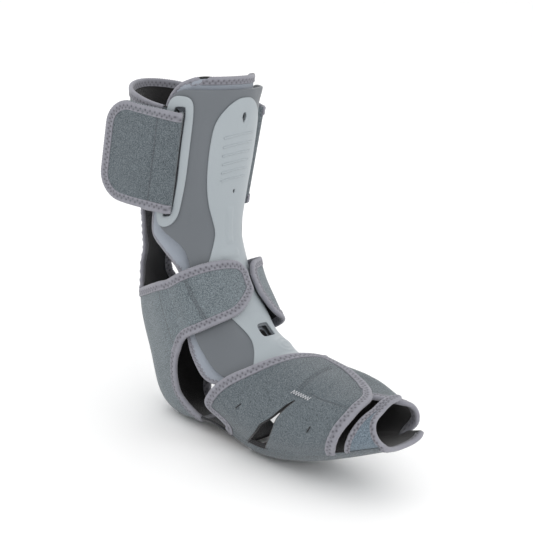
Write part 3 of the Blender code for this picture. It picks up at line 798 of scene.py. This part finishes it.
grey_thread = sewing_thread("grey_thread", (0.085, 0.092, 0.104))
black_thread = sewing_thread("black_tack_thread", (0.012, 0.012, 0.014))
seam_stitches = stitch_tree("Seam stitches", grey_thread)


def seam(name, body, runs, place, rise, pitch=2.6, tree=None, radius=0.34, length=1.05):
    """Rows of sewing sunk into a laid piece, along pattern runs."""
    laid = [place(evenly(np.array(run, float), 0.6, place), np.full(1, rise)) for run in runs]
    sizes = dict(Pitch=pitch * MM, Stitch_Length=length * MM, Thread_Radius=radius * MM)
    made = grown(name, tree or seam_stitches, laid, **sizes)
    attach(made, body)
    return made


# ---------------------------------------------------------------- the liner
# A foam pad lies inside the shell and shows all round it: face cloth outside, dark brushed plush against the leg,
# a pale bound edge. It is held by three hook patches, so it comes out to be washed.


def brushed_plush(name, colour, light, tuft, pile):
    """Deep matt plush: clumped pile with soft light tips."""
    finish = Finish(name, Sheen_Weight=0.35, Sheen_Roughness=0.45, Specular_IOR_Level=0.1)
    clumps = finish.noise(tuft, 4.0, 0.7)
    fibres = finish.noise(tuft * 6, 3.0, 0.7)
    return finish.surface(
        Base_Color=finish.mix(clumps * 0.6 + fibres * 0.5, colour, light),
        Roughness=0.93 + 0.05 * fibres,
        Normal=finish.bump(clumps * 0.7 + fibres * 0.5, pile),
    )


inner_plush = brushed_plush("inner_plush", (0.009, 0.009, 0.010), (0.030, 0.029, 0.030), 650.0, 0.0007)


def face_cloth(name, colour, light, dark):
    """Smooth knitted face cloth over foam: a very fine knit and soft shading."""
    finish = Finish(name, Sheen_Weight=0.2, Sheen_Roughness=0.6, Specular_IOR_Level=0.2)
    knit = finish.noise(3000.0, 2.0, 0.55)
    soft = finish.noise(40.0, 3.0, 0.6)
    tone = finish.mix(knit, colour, light)
    return finish.surface(
        Base_Color=finish.mix(soft * 0.35, tone, dark), Roughness=0.86 + 0.1 * knit, Normal=finish.bump(knit, 0.00018)
    )


liner_cloth = face_cloth("liner_cloth", (0.262, 0.290, 0.335), (0.345, 0.378, 0.430), (0.22, 0.245, 0.29))
LINER_HALF = [
    (0.1, 50), (0.3, 66), (0.8, 77), (1.6, 81), (2.5, 85), (3.3, 97), (3.9, 101), (4.4, 87), (5.2, 67),
    (6.2, 64), (7.2, 77), (8.0, 79), (8.8, 81), (9.3, 76), (9.7, 64), (9.95, 47),
]
liner_surface = laid_on_leg(0.2)
liner_left, liner_right = both_sides(LINER_HALF)
liner_outline = closed_outline(liner_left, liner_right, liner_surface, 7, 2.0)
liner_window = oval(place=liner_surface, **{**WINDOW, "tall": 11.0, "wide": 13.0})


def foam_crown(pattern):
    """The foam swells between the bound edge and the shell, and is pressed thinner under it."""
    edge = np.interp(pattern[:, 0], [p[0] for p in LINER_HALF], [p[1] for p in LINER_HALF])
    near_edge = np.clip((edge - np.abs(pattern[:, 1])) / 16, 0, 1)
    return 1.3 * np.sin(np.pi * np.clip(near_edge, 0, 1)) + 0.05 * np.sin(pattern[:, 0] * 9)


LINER_THICKNESS = 2.6
liner = cut_piece(
    "liner_pad", liner_outline, liner_surface, LINER_THICKNESS, [liner_cloth, inner_plush],
    holes=[liner_window], step=2.4, bulge=foam_crown, round_rim=6,
)


PUFF_FRAMES = 8


def foamed(pad, pressure=3.0, most=0.9):
    """Puffs a closed pad with a short cloth simulation: each point may move only a little way."""
    start = np.empty(len(pad.data.vertices) * 3)
    pad.data.vertices.foreach_get("co", start)
    cloth = pad.modifiers.new("Foam", "CLOTH")
    cloth.settings.use_pressure = True
    cloth.settings.uniform_pressure_force = pressure
    cloth.settings.quality = 3
    cloth.settings.effector_weights.gravity = 0
    cloth.collision_settings.use_self_collision = False
    cloth.point_cache.frame_start, cloth.point_cache.frame_end = 1, PUFF_FRAMES
    for step in range(1, PUFF_FRAMES + 1):
        scene.frame_set(step)
    puffed = pad.evaluated_get(bpy.context.evaluated_depsgraph_get()).to_mesh()
    end = np.empty(len(start))
    puffed.vertices.foreach_get("co", end)
    pad.modifiers.remove(cloth)
    scene.frame_set(1)
    move = (end - start).reshape(-1, 3)
    far = np.linalg.norm(move, axis=1, keepdims=True)
    far[~np.isfinite(far)] = 0
    move = np.nan_to_num(move) * np.minimum(1, most * MM / np.maximum(far, 1e-9))
    pad.data.vertices.foreach_set("co", (start.reshape(-1, 3) + move).ravel())
    pad.data.update()


foamed(liner)
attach(liner, "splint")
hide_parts("liner_foam")

liner_tape = binding(
    "liner_edge_tape", np.concatenate(edges_of(liner_left, liner_right)), liner_surface, LINER_THICKNESS + 0.1,
    liner_outline, closed=True, width=5.6, over=1.3, step=0.9,
)
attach(liner_tape, "splint")
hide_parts("liner_binding")

# Hook patches hold the liner to the shell and close every strap: stubby moulded hooks on a black base, sewn on.


def hook_tape(name, colour, light):
    """Hook face: rows of tiny hooks on a matt black ground."""
    finish = Finish(name, Specular_IOR_Level=0.4)
    hooks = finish.node(
        "ShaderNodeTexVoronoi", {"feature": "F1"}, {"Vector": finish.place(), "Scale": 900.0, "Randomness": 0.35}
    )
    return finish.surface(
        Base_Color=finish.mix(hooks, light, colour), Roughness=0.45 + 0.3 * hooks, Normal=finish.bump(1 - hooks, 0.0006)
    )


black_hook = hook_tape("black_hook", (0.012, 0.012, 0.014), (0.05, 0.05, 0.056))
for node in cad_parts:
    if "hook" in node:
        holder = bpy.data.objects[node]
        for entry in holder.material_slots:
            entry.material = black_hook

# ---------------------------------------------------------------- the calf band
# Brushed loop fabric, heather grey outside and dark plush inside, goes round behind the calf from slot to slot
# with a folded tape along each edge. The hook patches of the tabs press onto it.


def loop_cloth(name, colour, light, dark, fuzz=0.0007):
    """Heather loop fabric: two yarns flecked together, short fuzzy loops, slightly rubbed in places."""
    finish = Finish(name, Sheen_Weight=0.32, Sheen_Roughness=0.4, Specular_IOR_Level=0.15)
    fleck = finish.noise(1700.0, 2.0, 0.8)
    loops = finish.noise(1000.0, 3.0, 0.75)
    rubbed = finish.noise(28.0, 3.0, 0.6)
    contrast = finish.node(
        "ShaderNodeMapRange", None, {"Value": fleck * 0.6 + loops * 0.4, "From Min": 0.43, "From Max": 0.57}
    )
    flecked = finish.mix(contrast, dark, light)
    body = finish.mix(0.12, flecked, colour)
    return finish.surface(
        Base_Color=finish.mix(rubbed * 0.30, body, light),
        Roughness=0.9 + 0.08 * loops,
        Normal=finish.bump(loops * 0.7 + fleck * 0.4, fuzz),
    )


heather_loop = loop_cloth("heather_loop", (0.090, 0.107, 0.120), (0.205, 0.236, 0.256), (0.014, 0.022, 0.028))
BAND_TOP = [(0.95, -64), (0.8, -90), (0.58, -120), (0.38, -150), (0.3, -180)]
BAND_BOTTOM = [(3.3, -72), (3.28, -90), (3.15, -120), (2.95, -150), (2.9, -180)]


def round_the_back(half):
    return half + [(s, -360 - a) for s, a in reversed(half[:-1])]


def band_lift(station, angle):
    wave = 0.5 * np.sin(np.radians(np.asarray(angle, float)) * 5) * np.sin(np.asarray(station, float) * 1.6)
    return 3.4 - 0.3 * ease(side_angle(angle), 90, 130) + wave * ease(side_angle(angle), 95, 140)


def seam_hump(pattern, lines, depth=0.5, wide=2.2, scale=PATTERN_SCALE):
    """The groove that a line of sewing pulls into soft fabric, at each of a few runs, in mm."""
    dip = np.zeros(len(pattern))
    scaled = pattern * scale
    for line in lines:
        line = np.array(line, float) * scale
        for a, b in zip(line[:-1], line[1:]):
            along = np.clip(((scaled - a) @ (b - a)) / ((b - a) @ (b - a)), 0, 1)
            gap = np.linalg.norm(scaled - (a + along[:, None] * (b - a)), axis=1)
            dip = np.maximum(dip, np.exp(-((gap / (wide / 2)) ** 2)))
    return -1.5 * depth * dip


band_surface = laid_on_leg(band_lift)
band_top, band_bottom = round_the_back(BAND_TOP), round_the_back(BAND_BOTTOM)
band_outline = closed_outline(band_top, band_bottom, band_surface, 2)
BAND_THICKNESS = 2.1
band = cut_piece(
    "calf_band_cloth", band_outline, band_surface, BAND_THICKNESS, [heather_loop, inner_plush], step=2.6
)
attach(band, "splint")
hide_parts("calf_band")
for edge, rungs in (("top", band_top), ("bottom", band_bottom)):
    marks = np.linspace(0.6, len(rungs) - 1.6, 60)
    tape_piece = binding(
        "calf_band_tape_" + edge, curve_through(rungs, marks), band_surface, BAND_THICKNESS + 0.1, band_outline,
        width=6.6,
    )
    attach(tape_piece, "splint")
    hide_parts("calf_band_binding_" + edge)

# ---------------------------------------------------------------- the calf tabs
# Each end of the band comes out through its slot, turns back over the slot's rear bar and closes on the band with
# a hook patch. The tab has rounded corners, tape on three sides and one row of sewing where the strap is joined.

SLOT_TOP, SLOT_LOW = (0.92, -62.0), (3.34, -73.5)
TAB_LENGTH, TAB_CORNER, TAB_SPLAY, TAB_THICKNESS = 65.0, 22.0, 13.0, 2.4
FOLD_ARC, TAIL_IN_SLOT, SLOT_CLEARANCE, SEWN_AT = np.pi * 0.72, 3.0, 2.0, 15.5
TAB_SCALE = np.array([1.0, 1.0])  # a tab's pattern is in millimetres already


def tab_plane(sign):
    """The plane of a calf tab: its middle, its width along the slot, the way it runs back, and outwards."""
    ends = [
        leg_point(np.array([s]), np.array([sign * a])) + 12.6 * leg_normal(np.array([s]), np.array([sign * a]))
        for s, a in (SLOT_TOP, SLOT_LOW)
    ]
    top, low = ends[0][0], ends[1][0]
    axis = unit(low - top)
    splay = np.radians(TAB_SPLAY)
    back = np.array([-sign * np.sin(splay), np.cos(splay), 0.0])
    back = unit(back - (back @ axis) * axis)
    return (top + low) / 2, axis, back, np.cross(back, axis) * sign, np.linalg.norm(low - top) / 2


def tab_surface(sign, turn, bow):
    """Pattern points are (run, width) in mm: run below 0 is the fold, round a radius, and then the slot."""
    middle, axis, back, out, _ = tab_plane(sign)

    def place(pattern, rise=0.0):
        run, wide = pattern[..., 0], pattern[..., 1]
        arc = np.clip(-run / turn, 0, FOLD_ARC)
        more = np.maximum(-run - turn * FOLD_ARC, 0)
        sag = bow * np.sin(np.pi * np.clip(run / TAB_LENGTH, 0, 1)) - 2.2 * ease(run, 30, TAB_LENGTH)
        back_way = np.where(run > 0, run, -turn * np.sin(arc) + more * 0.25)
        out_way = np.where(run > 0, turn + sag, turn * np.cos(arc) - more)
        normal_back = np.where(run > 0, 0, -np.sin(arc))
        normal_out = np.where(run > 0, 1, np.cos(arc))
        height = np.broadcast_to(np.asarray(rise, float), run.shape)
        return (
            middle
            + (back_way + height * normal_back)[..., None] * back
            + (out_way + height * normal_out)[..., None] * out
            + wide[..., None] * axis
        )

    return place


def tab_outline(half, start):
    swing = np.radians(np.linspace(0, 90, 10))
    straight = TAB_LENGTH - TAB_CORNER
    corner = np.stack([straight + TAB_CORNER * np.sin(swing), half - TAB_CORNER * (1 - np.cos(swing))], 1)
    side = np.stack([np.linspace(start, straight - 1, 30), np.full(30, half)], 1)
    upper = np.concatenate([side, corner])
    return np.concatenate([upper, (upper * [1, -1])[::-1]])


def tab_relief(sewn):
    """A tab's gentle swell and the groove of its sewing, in mm."""

    def relief(pattern):
        swell = 0.8 * np.sin(np.pi * np.clip(pattern[:, 0] / TAB_LENGTH, 0, 1))
        return swell + seam_hump(pattern, [sewn], scale=TAB_SCALE)

    return relief


# Each tab: its side of the leg, the radius of its fold and how far it bows away from the band.
for side, sign, turn, bow in (("near", 1, 2.4, 1.2), ("far", -1, 5.6, 4.5)):
    middle, _, back, out, half = tab_plane(sign)
    half -= SLOT_CLEARANCE
    place = tab_surface(sign, turn, bow)
    start = -turn * FOLD_ARC - TAIL_IN_SLOT
    open_run = tab_outline(half, start)
    outline = evenly(np.concatenate([open_run, open_run[:1]]), 1.4, place)[:-1]
    sewn = [(SEWN_AT, -half + 5), (SEWN_AT, half - 5)]
    tab = cut_piece(
        "calf_tab_cloth_" + side, outline, place, TAB_THICKNESS, [heather_loop],
        bulge=tab_relief(sewn), scale=TAB_SCALE,
    )
    tab_tape = binding(
        "calf_tab_tape_" + side, tab_outline(half, -1.3 * turn), place, TAB_THICKNESS + 0.2, outline,
        width=6.6, over=1.4,
    )
    body = "calf_tab_" + side
    over_fold = unit(out + 0.5 * back)
    in_slot, past_fold = Vector((middle - 3.0 * over_fold) * MM), Vector((middle + 0.75 * turn * over_fold) * MM)
    for cloth, node, paint in ((tab, "calf_tab_", "fabric"), (tab_tape, "calf_tab_binding_", "tape")):
        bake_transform(cloth)
        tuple(in_slot)
        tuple(past_fold)
        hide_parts(node + side)
    tab_seam = seam("calf_tab_seam_" + side, body, [sewn], place, TAB_THICKNESS + 0.25)
    2 * half * MM

# ---------------------------------------------------------------- the Achilles panel
# A soft dark plush panel closes the gap behind the tendon, under the calf band and above the heel sling. Its side
# tapes are gathered a little, because the panel is elastic.

achilles_plush = brushed_plush("achilles_plush", (0.018, 0.019, 0.021), (0.052, 0.053, 0.058), 700.0, 0.0007)
ACHILLES_EDGE = [(2.35, 62), (3.0, 57), (3.4, 48), (3.8, 38), (4.3, 31), (4.8, 29), (5.15, 34), (5.43, 44)]


def about_the_back(half):
    return [(s, -180 + a) for s, a in half], [(s, -180 - a) for s, a in half]


def achilles_lift(station, angle):
    return 0.6 + 0.5 * np.sin(np.asarray(station, float) * 7) * np.sin(np.radians(np.asarray(angle, float)) * 4)


achilles_surface = laid_on_leg(achilles_lift)
achilles_left, achilles_right = about_the_back(ACHILLES_EDGE)
achilles_outline = closed_outline(achilles_left, achilles_right, achilles_surface, 3)
ACHILLES_THICKNESS = 2.0
achilles = cut_piece(
    "achilles_plush_panel", achilles_outline, achilles_surface, ACHILLES_THICKNESS, [achilles_plush]
)
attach(achilles, "splint")
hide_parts("achilles_panel")
for side, rungs in (("near", achilles_left), ("far", achilles_right)):
    tape_piece = binding(
        "achilles_tape_" + side, curve_through(rungs, np.linspace(1.0, 6.9, 60)), achilles_surface,
        ACHILLES_THICKNESS, achilles_outline, width=6.0, gather=0.5,
    )
    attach(tape_piece, "splint")
    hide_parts("achilles_binding_" + side)

# ---------------------------------------------------------------- the heel sling and the ankle straps
# One wide strap of loop fabric cups the heel and comes up over the instep from both sides. The near end closes
# over the far end with its hook patch; two rows of sewing cross the near end where the sling is pieced.

sling_loop = loop_cloth("sling_loop", (0.118, 0.142, 0.156), (0.262, 0.302, 0.325), (0.028, 0.038, 0.046))
SLING_THICKNESS, STRAP_THICKNESS = 2.45, 2.6
FLOOR_GAP = 2.6  # height of the cloth's underside where the splint stands on it
SLING_EDGE = [
    (5.45, 99), (6.0, 99), (6.6, 99), (7.0, 99), (7.32, 96), (7.5, 90), (7.75, 85), (8.05, 80), (8.5, 73),
    (8.95, 67), (9.3, 59), (9.58, 47),
]
SLING_FAR_EDGE = [
    (5.45, 99), (6.0, 99), (6.6, 99), (7.0, 99), (7.32, 92), (7.5, 80), (7.75, 66), (8.05, 53), (8.5, 42),
    (8.95, 36), (9.3, 33), (9.58, 32),
]
STRAP_TOP = [(5.45, -89), (5.46, -76), (5.35, -58), (5.3, -38), (5.36, -18), (5.5, -4), (5.8, 3)]
STRAP_BOTTOM = [(7.46, -89), (7.17, -76), (7.18, -58), (7.18, -40), (7.14, -22), (6.85, -8), (6.5, 2)]
FAR_STRAP_TOP = [(5.45, 89), (5.46, 76), (5.4, 60), (5.42, 45), (5.5, 30), (5.6, 19), (5.9, 12)]
FAR_STRAP_BOTTOM = [(7.37, 89), (7.45, 76), (7.6, 60), (7.62, 45), (7.5, 30), (7.2, 19), (6.7, 12)]


def sling_lift(station, angle):
    """The strap's height: over the core panel in front, down past the shell's edge, then onto the heel."""
    away = side_angle(angle)
    bow = 8.0 * np.exp(-(((np.asarray(angle, float) - 46) / 17) ** 2))
    over_shell = 12.6 + bow - 5.1 * ease(away, 60, 82)
    on_heel = 7.5 - 6.9 * ease(away, 76, 122)
    share = ease(away, 70, 84)
    return over_shell * (1 - share) + on_heel * share


sling_surface = laid_on_leg(sling_lift, floor=FLOOR_GAP)
sling_left, _ = about_the_back(SLING_EDGE)
_, sling_right = about_the_back(SLING_FAR_EDGE)
sling_outline = closed_outline(sling_left, sling_right, sling_surface, 2)
sling = cut_piece(
    "heel_sling_cloth", sling_outline, sling_surface, SLING_THICKNESS, [sling_loop, inner_plush], step=2.6
)
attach(sling, "splint")
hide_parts("heel_sling")
for side, rungs, end in (("near", sling_left, 46), ("far", sling_right, -31)):
    bottom = np.array([(9.6, -180 + end), (9.62, -180 + end / 2), (9.62, -180)], float)
    edge_run, bottom_run = curve_through(rungs, np.linspace(4.0, 11, 60)), curve_through(bottom, np.linspace(0, 2, 20))
    run = np.concatenate([edge_run, bottom_run])
    tape_piece = binding("sling_tape_" + side, run, sling_surface, SLING_THICKNESS + 0.15, sling_outline)
    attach(tape_piece, "splint")
    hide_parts("sling_binding_" + side)
top_run = np.stack([np.full(80, 5.45), np.linspace(-84, -276, 80)], 1)
top_tape = binding("sling_tape_top", top_run, sling_surface, SLING_THICKNESS + 0.15, sling_outline)
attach(top_tape, "splint")


def bound_strap(
    name, surface, rear, front, thickness, cloth, hinge, width=6.4, bulge=None, outline=None, step=2.2
):
    """A strap with tape round its free end. Its two hinge points are not used."""
    if outline is None:
        outline = closed_outline(rear, front, surface, 4)
    cloth_piece = cut_piece(name + "_cloth", outline, surface, thickness, [cloth, inner_plush], step=step, bulge=bulge)
    up_front, over_end, down_rear, _ = edges_of(rear, front)
    tape_run = np.concatenate([up_front, over_end, down_rear])
    tape_piece = binding(name + "_tape", tape_run, surface, thickness + 0.1, outline, width=width)
    for piece, node, paint in ((cloth_piece, name, "fabric"), (tape_piece, name + "_binding", "tape")):
        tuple(hinge[0])
        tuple(hinge[1])
        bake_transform(piece)
        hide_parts(node)
    return cloth_piece, tape_piece


def across_hinge(place, first, last, reach):
    """Two points across a hinge line, reach mm apart, from the line's middle square to it and upwards."""
    ends = place(np.array([first, last], float))
    along = unit(ends[1] - ends[0])
    upward = np.array([0.0, 0.0, 1.0])
    upward = unit(upward - (upward @ along) * along)
    middle = ends.mean(0)
    return Vector(middle * MM), Vector((middle + reach * upward) * MM)


def round_hinge(place, first, last):
    """Two points on the surface, before and past a fold."""
    return tuple(Vector(place(np.array([spot], float))[0] * MM) for spot in (first, last))


strap_rows = [
    [(5.55, -57.5), (6.3, -54), (7.05, -50.5)],
    [(5.55, -55.6), (6.3, -52.1), (7.05, -48.6)],
]
strap_near, strap_near_tape = bound_strap(
    "ankle_strap_near", sling_surface, STRAP_TOP, STRAP_BOTTOM, STRAP_THICKNESS, sling_loop,
    round_hinge(sling_surface, (6.35, -81), (6.35, -70)),
    bulge=lambda pattern: seam_hump(pattern, strap_rows, 0.5, 2.4),
)
near_rows = seam("ankle_strap_seam_near", "ankle_strap_near", strap_rows, sling_surface, STRAP_THICKNESS + 0.15)
strap_far, strap_far_tape = bound_strap(
    "ankle_strap_far", sling_surface, FAR_STRAP_TOP, FAR_STRAP_BOTTOM, STRAP_THICKNESS, sling_loop,
    round_hinge(sling_surface, (6.45, 81), (6.45, 70)),
)

# ---------------------------------------------------------------- the sole band and the arch strip
# Under the foot one band of loop fabric joins the flaps. It is pressed flat where the splint stands on it. A
# short plush strip joins it to the heel sling, and tape binds its toe edge.

ARCH_EDGE = [(9.6, 45), (10.0, 40), (10.3, 34), (10.58, 27)]
SOLE_REAR = [(10.3, -119.5), (10.48, -135), (10.65, -150), (10.72, -165), (10.75, -180)]
SOLE_FRONT = [(13.9, -119.5), (13.9, -135), (13.88, -150), (13.86, -165), (13.85, -180)]
SOLE_THICKNESS, ARCH_THICKNESS = 2.5, 2.2
sole_surface = laid_on_leg(0.7, floor=FLOOR_GAP)
sole_rear, sole_front = round_the_back(SOLE_REAR), round_the_back(SOLE_FRONT)
sole_outline = closed_outline(sole_rear, sole_front, sole_surface, 1)
sole = cut_piece("sole_band_cloth", sole_outline, sole_surface, SOLE_THICKNESS, [heather_loop, inner_plush], step=2.6)
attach(sole, "splint")
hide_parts("sole_band")
sole_tape = binding(
    "sole_tape_toe", curve_through(sole_front, np.linspace(0.1, 7.9, 60)), sole_surface, SOLE_THICKNESS + 0.1,
    sole_outline, width=5.6,
)
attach(sole_tape, "splint")
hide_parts("sole_binding_toe")

arch_surface = laid_on_leg(0.9, floor=FLOOR_GAP)
arch_left, arch_right = about_the_back(ARCH_EDGE)
arch_outline = closed_outline(arch_left, arch_right, arch_surface, 2)
arch = cut_piece("arch_plush_strip", arch_outline, arch_surface, ARCH_THICKNESS, [achilles_plush])
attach(arch, "splint")
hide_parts("arch_strip")

# ---------------------------------------------------------------- the forefoot flaps
# Two wide flaps of loop fabric close over the toes of the shell. The far flap lies under; the near flap lies over
# it and has a slit at the ball of the foot, a bar of tacking at the slit's end, and joining seams.

FLAP_REAR = [
    (10.3, -123), (10.3, -117.5), (9.76, -104), (9.5, -90), (9.5, -68), (9.77, -46), (10.0, -22), (10.25, 0),
    (10.6, 17), (11.0, 25),
]
FLAP_FRONT = [
    (13.0, -123), (13.0, -117.5), (13.1, -98), (13.25, -80), (13.38, -62), (13.42, -42), (13.4, -18), (13.2, -3),
    (12.6, 10), (11.8, 21),
]
SLIT_REAR = [(11.78, -55), (11.68, -61), (11.42, -78), (11.13, -90), (10.87, -110), (10.84, -123)]
SLIT_FRONT = [(11.82, -55), (11.76, -61), (11.58, -78), (11.52, -90), (11.32, -110), (11.24, -123)]
FAR_FLAP_REAR = [
    (10.3, 123), (10.3, 117.5), (9.95, 104), (9.95, 88), (10.3, 62), (10.75, 34), (10.9, 12), (11.05, -8),
    (11.4, -19),
]
FAR_FLAP_FRONT = [
    (13.5, 123), (13.5, 117.5), (13.7, 100), (13.8, 82), (13.8, 60), (13.72, 38), (13.4, 14), (12.95, -5),
    (12.4, -17),
]


def far_flap_lift(station, angle):
    over_shell = np.interp(station, [10.0, 10.8, 11.3, 12.2], [9.2, 5.8, 4.8, 1.8])
    swell = 10.5 * np.exp(-(((np.asarray(angle, float) - 54) / 23) ** 2)) * (1 - 0.8 * ease(station, 12.0, 13.6))
    return 0.8 + (over_shell + swell - 0.8) * ease(side_angle(angle), 118, 84)


def near_flap_lift(station, angle):
    over_shell = np.interp(station, [9.4, 9.8, 10.4, 10.9, 11.3, 12.4], [10.8, 9.9, 9.2, 9.9, 9.4, 6.4])
    swell = 4.0 * np.exp(-(((np.asarray(angle, float) - 40) / 24) ** 2))
    return 0.8 + (over_shell + swell - 0.8) * ease(side_angle(angle), 118, 84)


FLAP_THICKNESS = 2.6
near_flap_surface = laid_on_leg(near_flap_lift, floor=FLOOR_GAP)
slit_rear, slit_front = (curve_through(edge, np.linspace(0, len(edge) - 1, 60)) for edge in (SLIT_REAR, SLIT_FRONT))
up_front, over_end, down_rear, _ = edges_of(FLAP_REAR, FLAP_FRONT)
root_rear = down_rear[-1] + (slit_rear[-1] - down_rear[-1]) * np.linspace(0, 1, 12)[1:-1, None]
root_front = slit_front[-1] + (up_front[0] - slit_front[-1]) * np.linspace(0, 1, 20)[1:-1, None]
near_flap_outline = np.concatenate(
    [up_front, over_end, down_rear, root_rear, slit_rear[::-1], slit_front, root_front]
)
near_flap_outline = rounded(evenly(near_flap_outline, 1.2, near_flap_surface, closed=True), 2, closed=True)
JOIN_SEAM = [(11.74, -43), (11.70, -26), (11.64, -8), (11.64, 4)]
JOIN_SEAM_TWIN = [(11.66, -43), (11.62, -26), (11.56, -8), (11.56, 4)]
SIDE_SEAM = [(11.94, -43), (12.5, -44), (13.22, -45)]
TACK_REAR, TACK_FRONT = [(10.40, -87), (10.46, -81)], [(12.44, -86), (12.50, -80)]
flap_grooves = [JOIN_SEAM, JOIN_SEAM_TWIN, SIDE_SEAM]
# station, angle, depth and reach in mm: at the rear tack, the front tack and the end of the slit
PUCKERS = [(10.43, -84, 0.5, 3.0), (12.47, -83, 0.5, 3.0), (11.82, -50, 0.8, 6.0)]


def near_flap_relief(pattern):
    """Soft swell of the padded cloth, the grooves of its seams and the puckers round its tacks."""
    puckers = np.zeros(len(pattern))
    for station, angle, deep, wide in PUCKERS:
        off = np.linalg.norm((pattern - [station, angle]) * PATTERN_SCALE, axis=1)
        puckers -= deep * np.exp(-((off / wide) ** 2))
    ease_waves = 0.25 * np.sin(pattern[:, 0] * 4.1) * np.sin(np.radians(pattern[:, 1]) * 5)
    return seam_hump(pattern, flap_grooves, 0.45, 2.0) + puckers + ease_waves


near_flap, near_flap_tape = bound_strap(
    "forefoot_flap_near", near_flap_surface, FLAP_REAR, FLAP_FRONT, FLAP_THICKNESS, heather_loop,
    across_hinge(near_flap_surface, (10.3, -121), (13.0, -121), 8.0), width=7.0,
    bulge=near_flap_relief, outline=near_flap_outline, step=1.9,
)
pale_thread = sewing_thread("pale_thread", (0.42, 0.43, 0.45))
tack_stitches = stitch_tree("Tack stitches", black_thread)
bar_stitches = stitch_tree("Bar tack stitches", pale_thread)
bar_tack = [(11.58 + 0.036 * k, -47.3 + (2.4 if k % 2 else -2.4) - 0.15 * k) for k in range(16)]
near_flap_sewing = [
    seam(name, "forefoot_flap_near", runs, near_flap_surface, FLAP_THICKNESS + sunk, pitch, tree, radius, length)
    for name, runs, sunk, pitch, tree, radius, length in (
        ("near_flap_seams", flap_grooves, 0.1, 2.2, seam_stitches, 0.26, 0.9),
        ("near_flap_bar_tack", [bar_tack], 0.05, 0.7, bar_stitches, 0.34, 0.55),
        ("near_flap_tacks", [TACK_REAR, TACK_FRONT], 0.15, 0.45, tack_stitches, 0.5, 0.6),
    )
]

# Three folded lips of binding show low in the slit, painted black as the shade inside it.
LIPS, LIP_POINTS, LIP_RADIUS = 3, 14, 0.9
lip_runs = []
for lip in range(LIPS):
    lip_run = np.stack([np.linspace(10.80, 11.34, LIP_POINTS), np.full(LIP_POINTS, -112.0 - 2.6 * lip)], 1)
    lip_runs.append(near_flap_surface(lip_run, np.full(LIP_POINTS, 0.6 + 0.7 * lip)))
# the black thread colour on these lips is painted shade
slit_lips = grown("slit_lips", beads_along("Slit lips", black_thread), lip_runs, Bead_Radius=LIP_RADIUS * MM)
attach(slit_lips, "splint")

far_flap_surface = laid_on_leg(far_flap_lift, floor=FLOOR_GAP)
far_flap, far_flap_tape = bound_strap(
    "forefoot_flap_far", far_flap_surface, FAR_FLAP_REAR, FAR_FLAP_FRONT, FLAP_THICKNESS, heather_loop,
    across_hinge(far_flap_surface, (10.3, 121), (13.5, 121), 8.0), width=6.6,
)

# ---------------------------------------------------------------- the toe panel
# A narrow bluish strip of the same loop fabric closes the toe end beside the near flap, bound on both edges and
# over its leaf-shaped tip.

toe_loop = loop_cloth("toe_loop", (0.125, 0.160, 0.192), (0.240, 0.295, 0.345), (0.046, 0.066, 0.086))
TOE_REAR = [
    (13.25, -123), (13.25, -117.5), (13.33, -98), (13.45, -80), (13.55, -60), (13.62, -34), (13.62, -8), (13.6, 14),
    (13.6, 27),
]
TOE_FRONT = [
    (13.93, -123), (13.93, -117.5), (13.92, -98), (13.9, -78), (13.88, -56), (13.86, -30), (13.83, -6), (13.76, 16),
    (13.66, 28),
]


def toe_lift(station, angle):
    return 0.8 + 1.4 * ease(side_angle(angle), 118, 90) + 5.0 * ease(angle, -28, 6)


toe_surface = laid_on_leg(toe_lift)
TOE_THICKNESS = 2.2
toe, toe_tape = bound_strap(
    "toe_panel", toe_surface, TOE_REAR, TOE_FRONT, TOE_THICKNESS, toe_loop,
    across_hinge(toe_surface, (13.25, -121), (13.9, -121), 6.0), width=3.4, step=1.8,
)
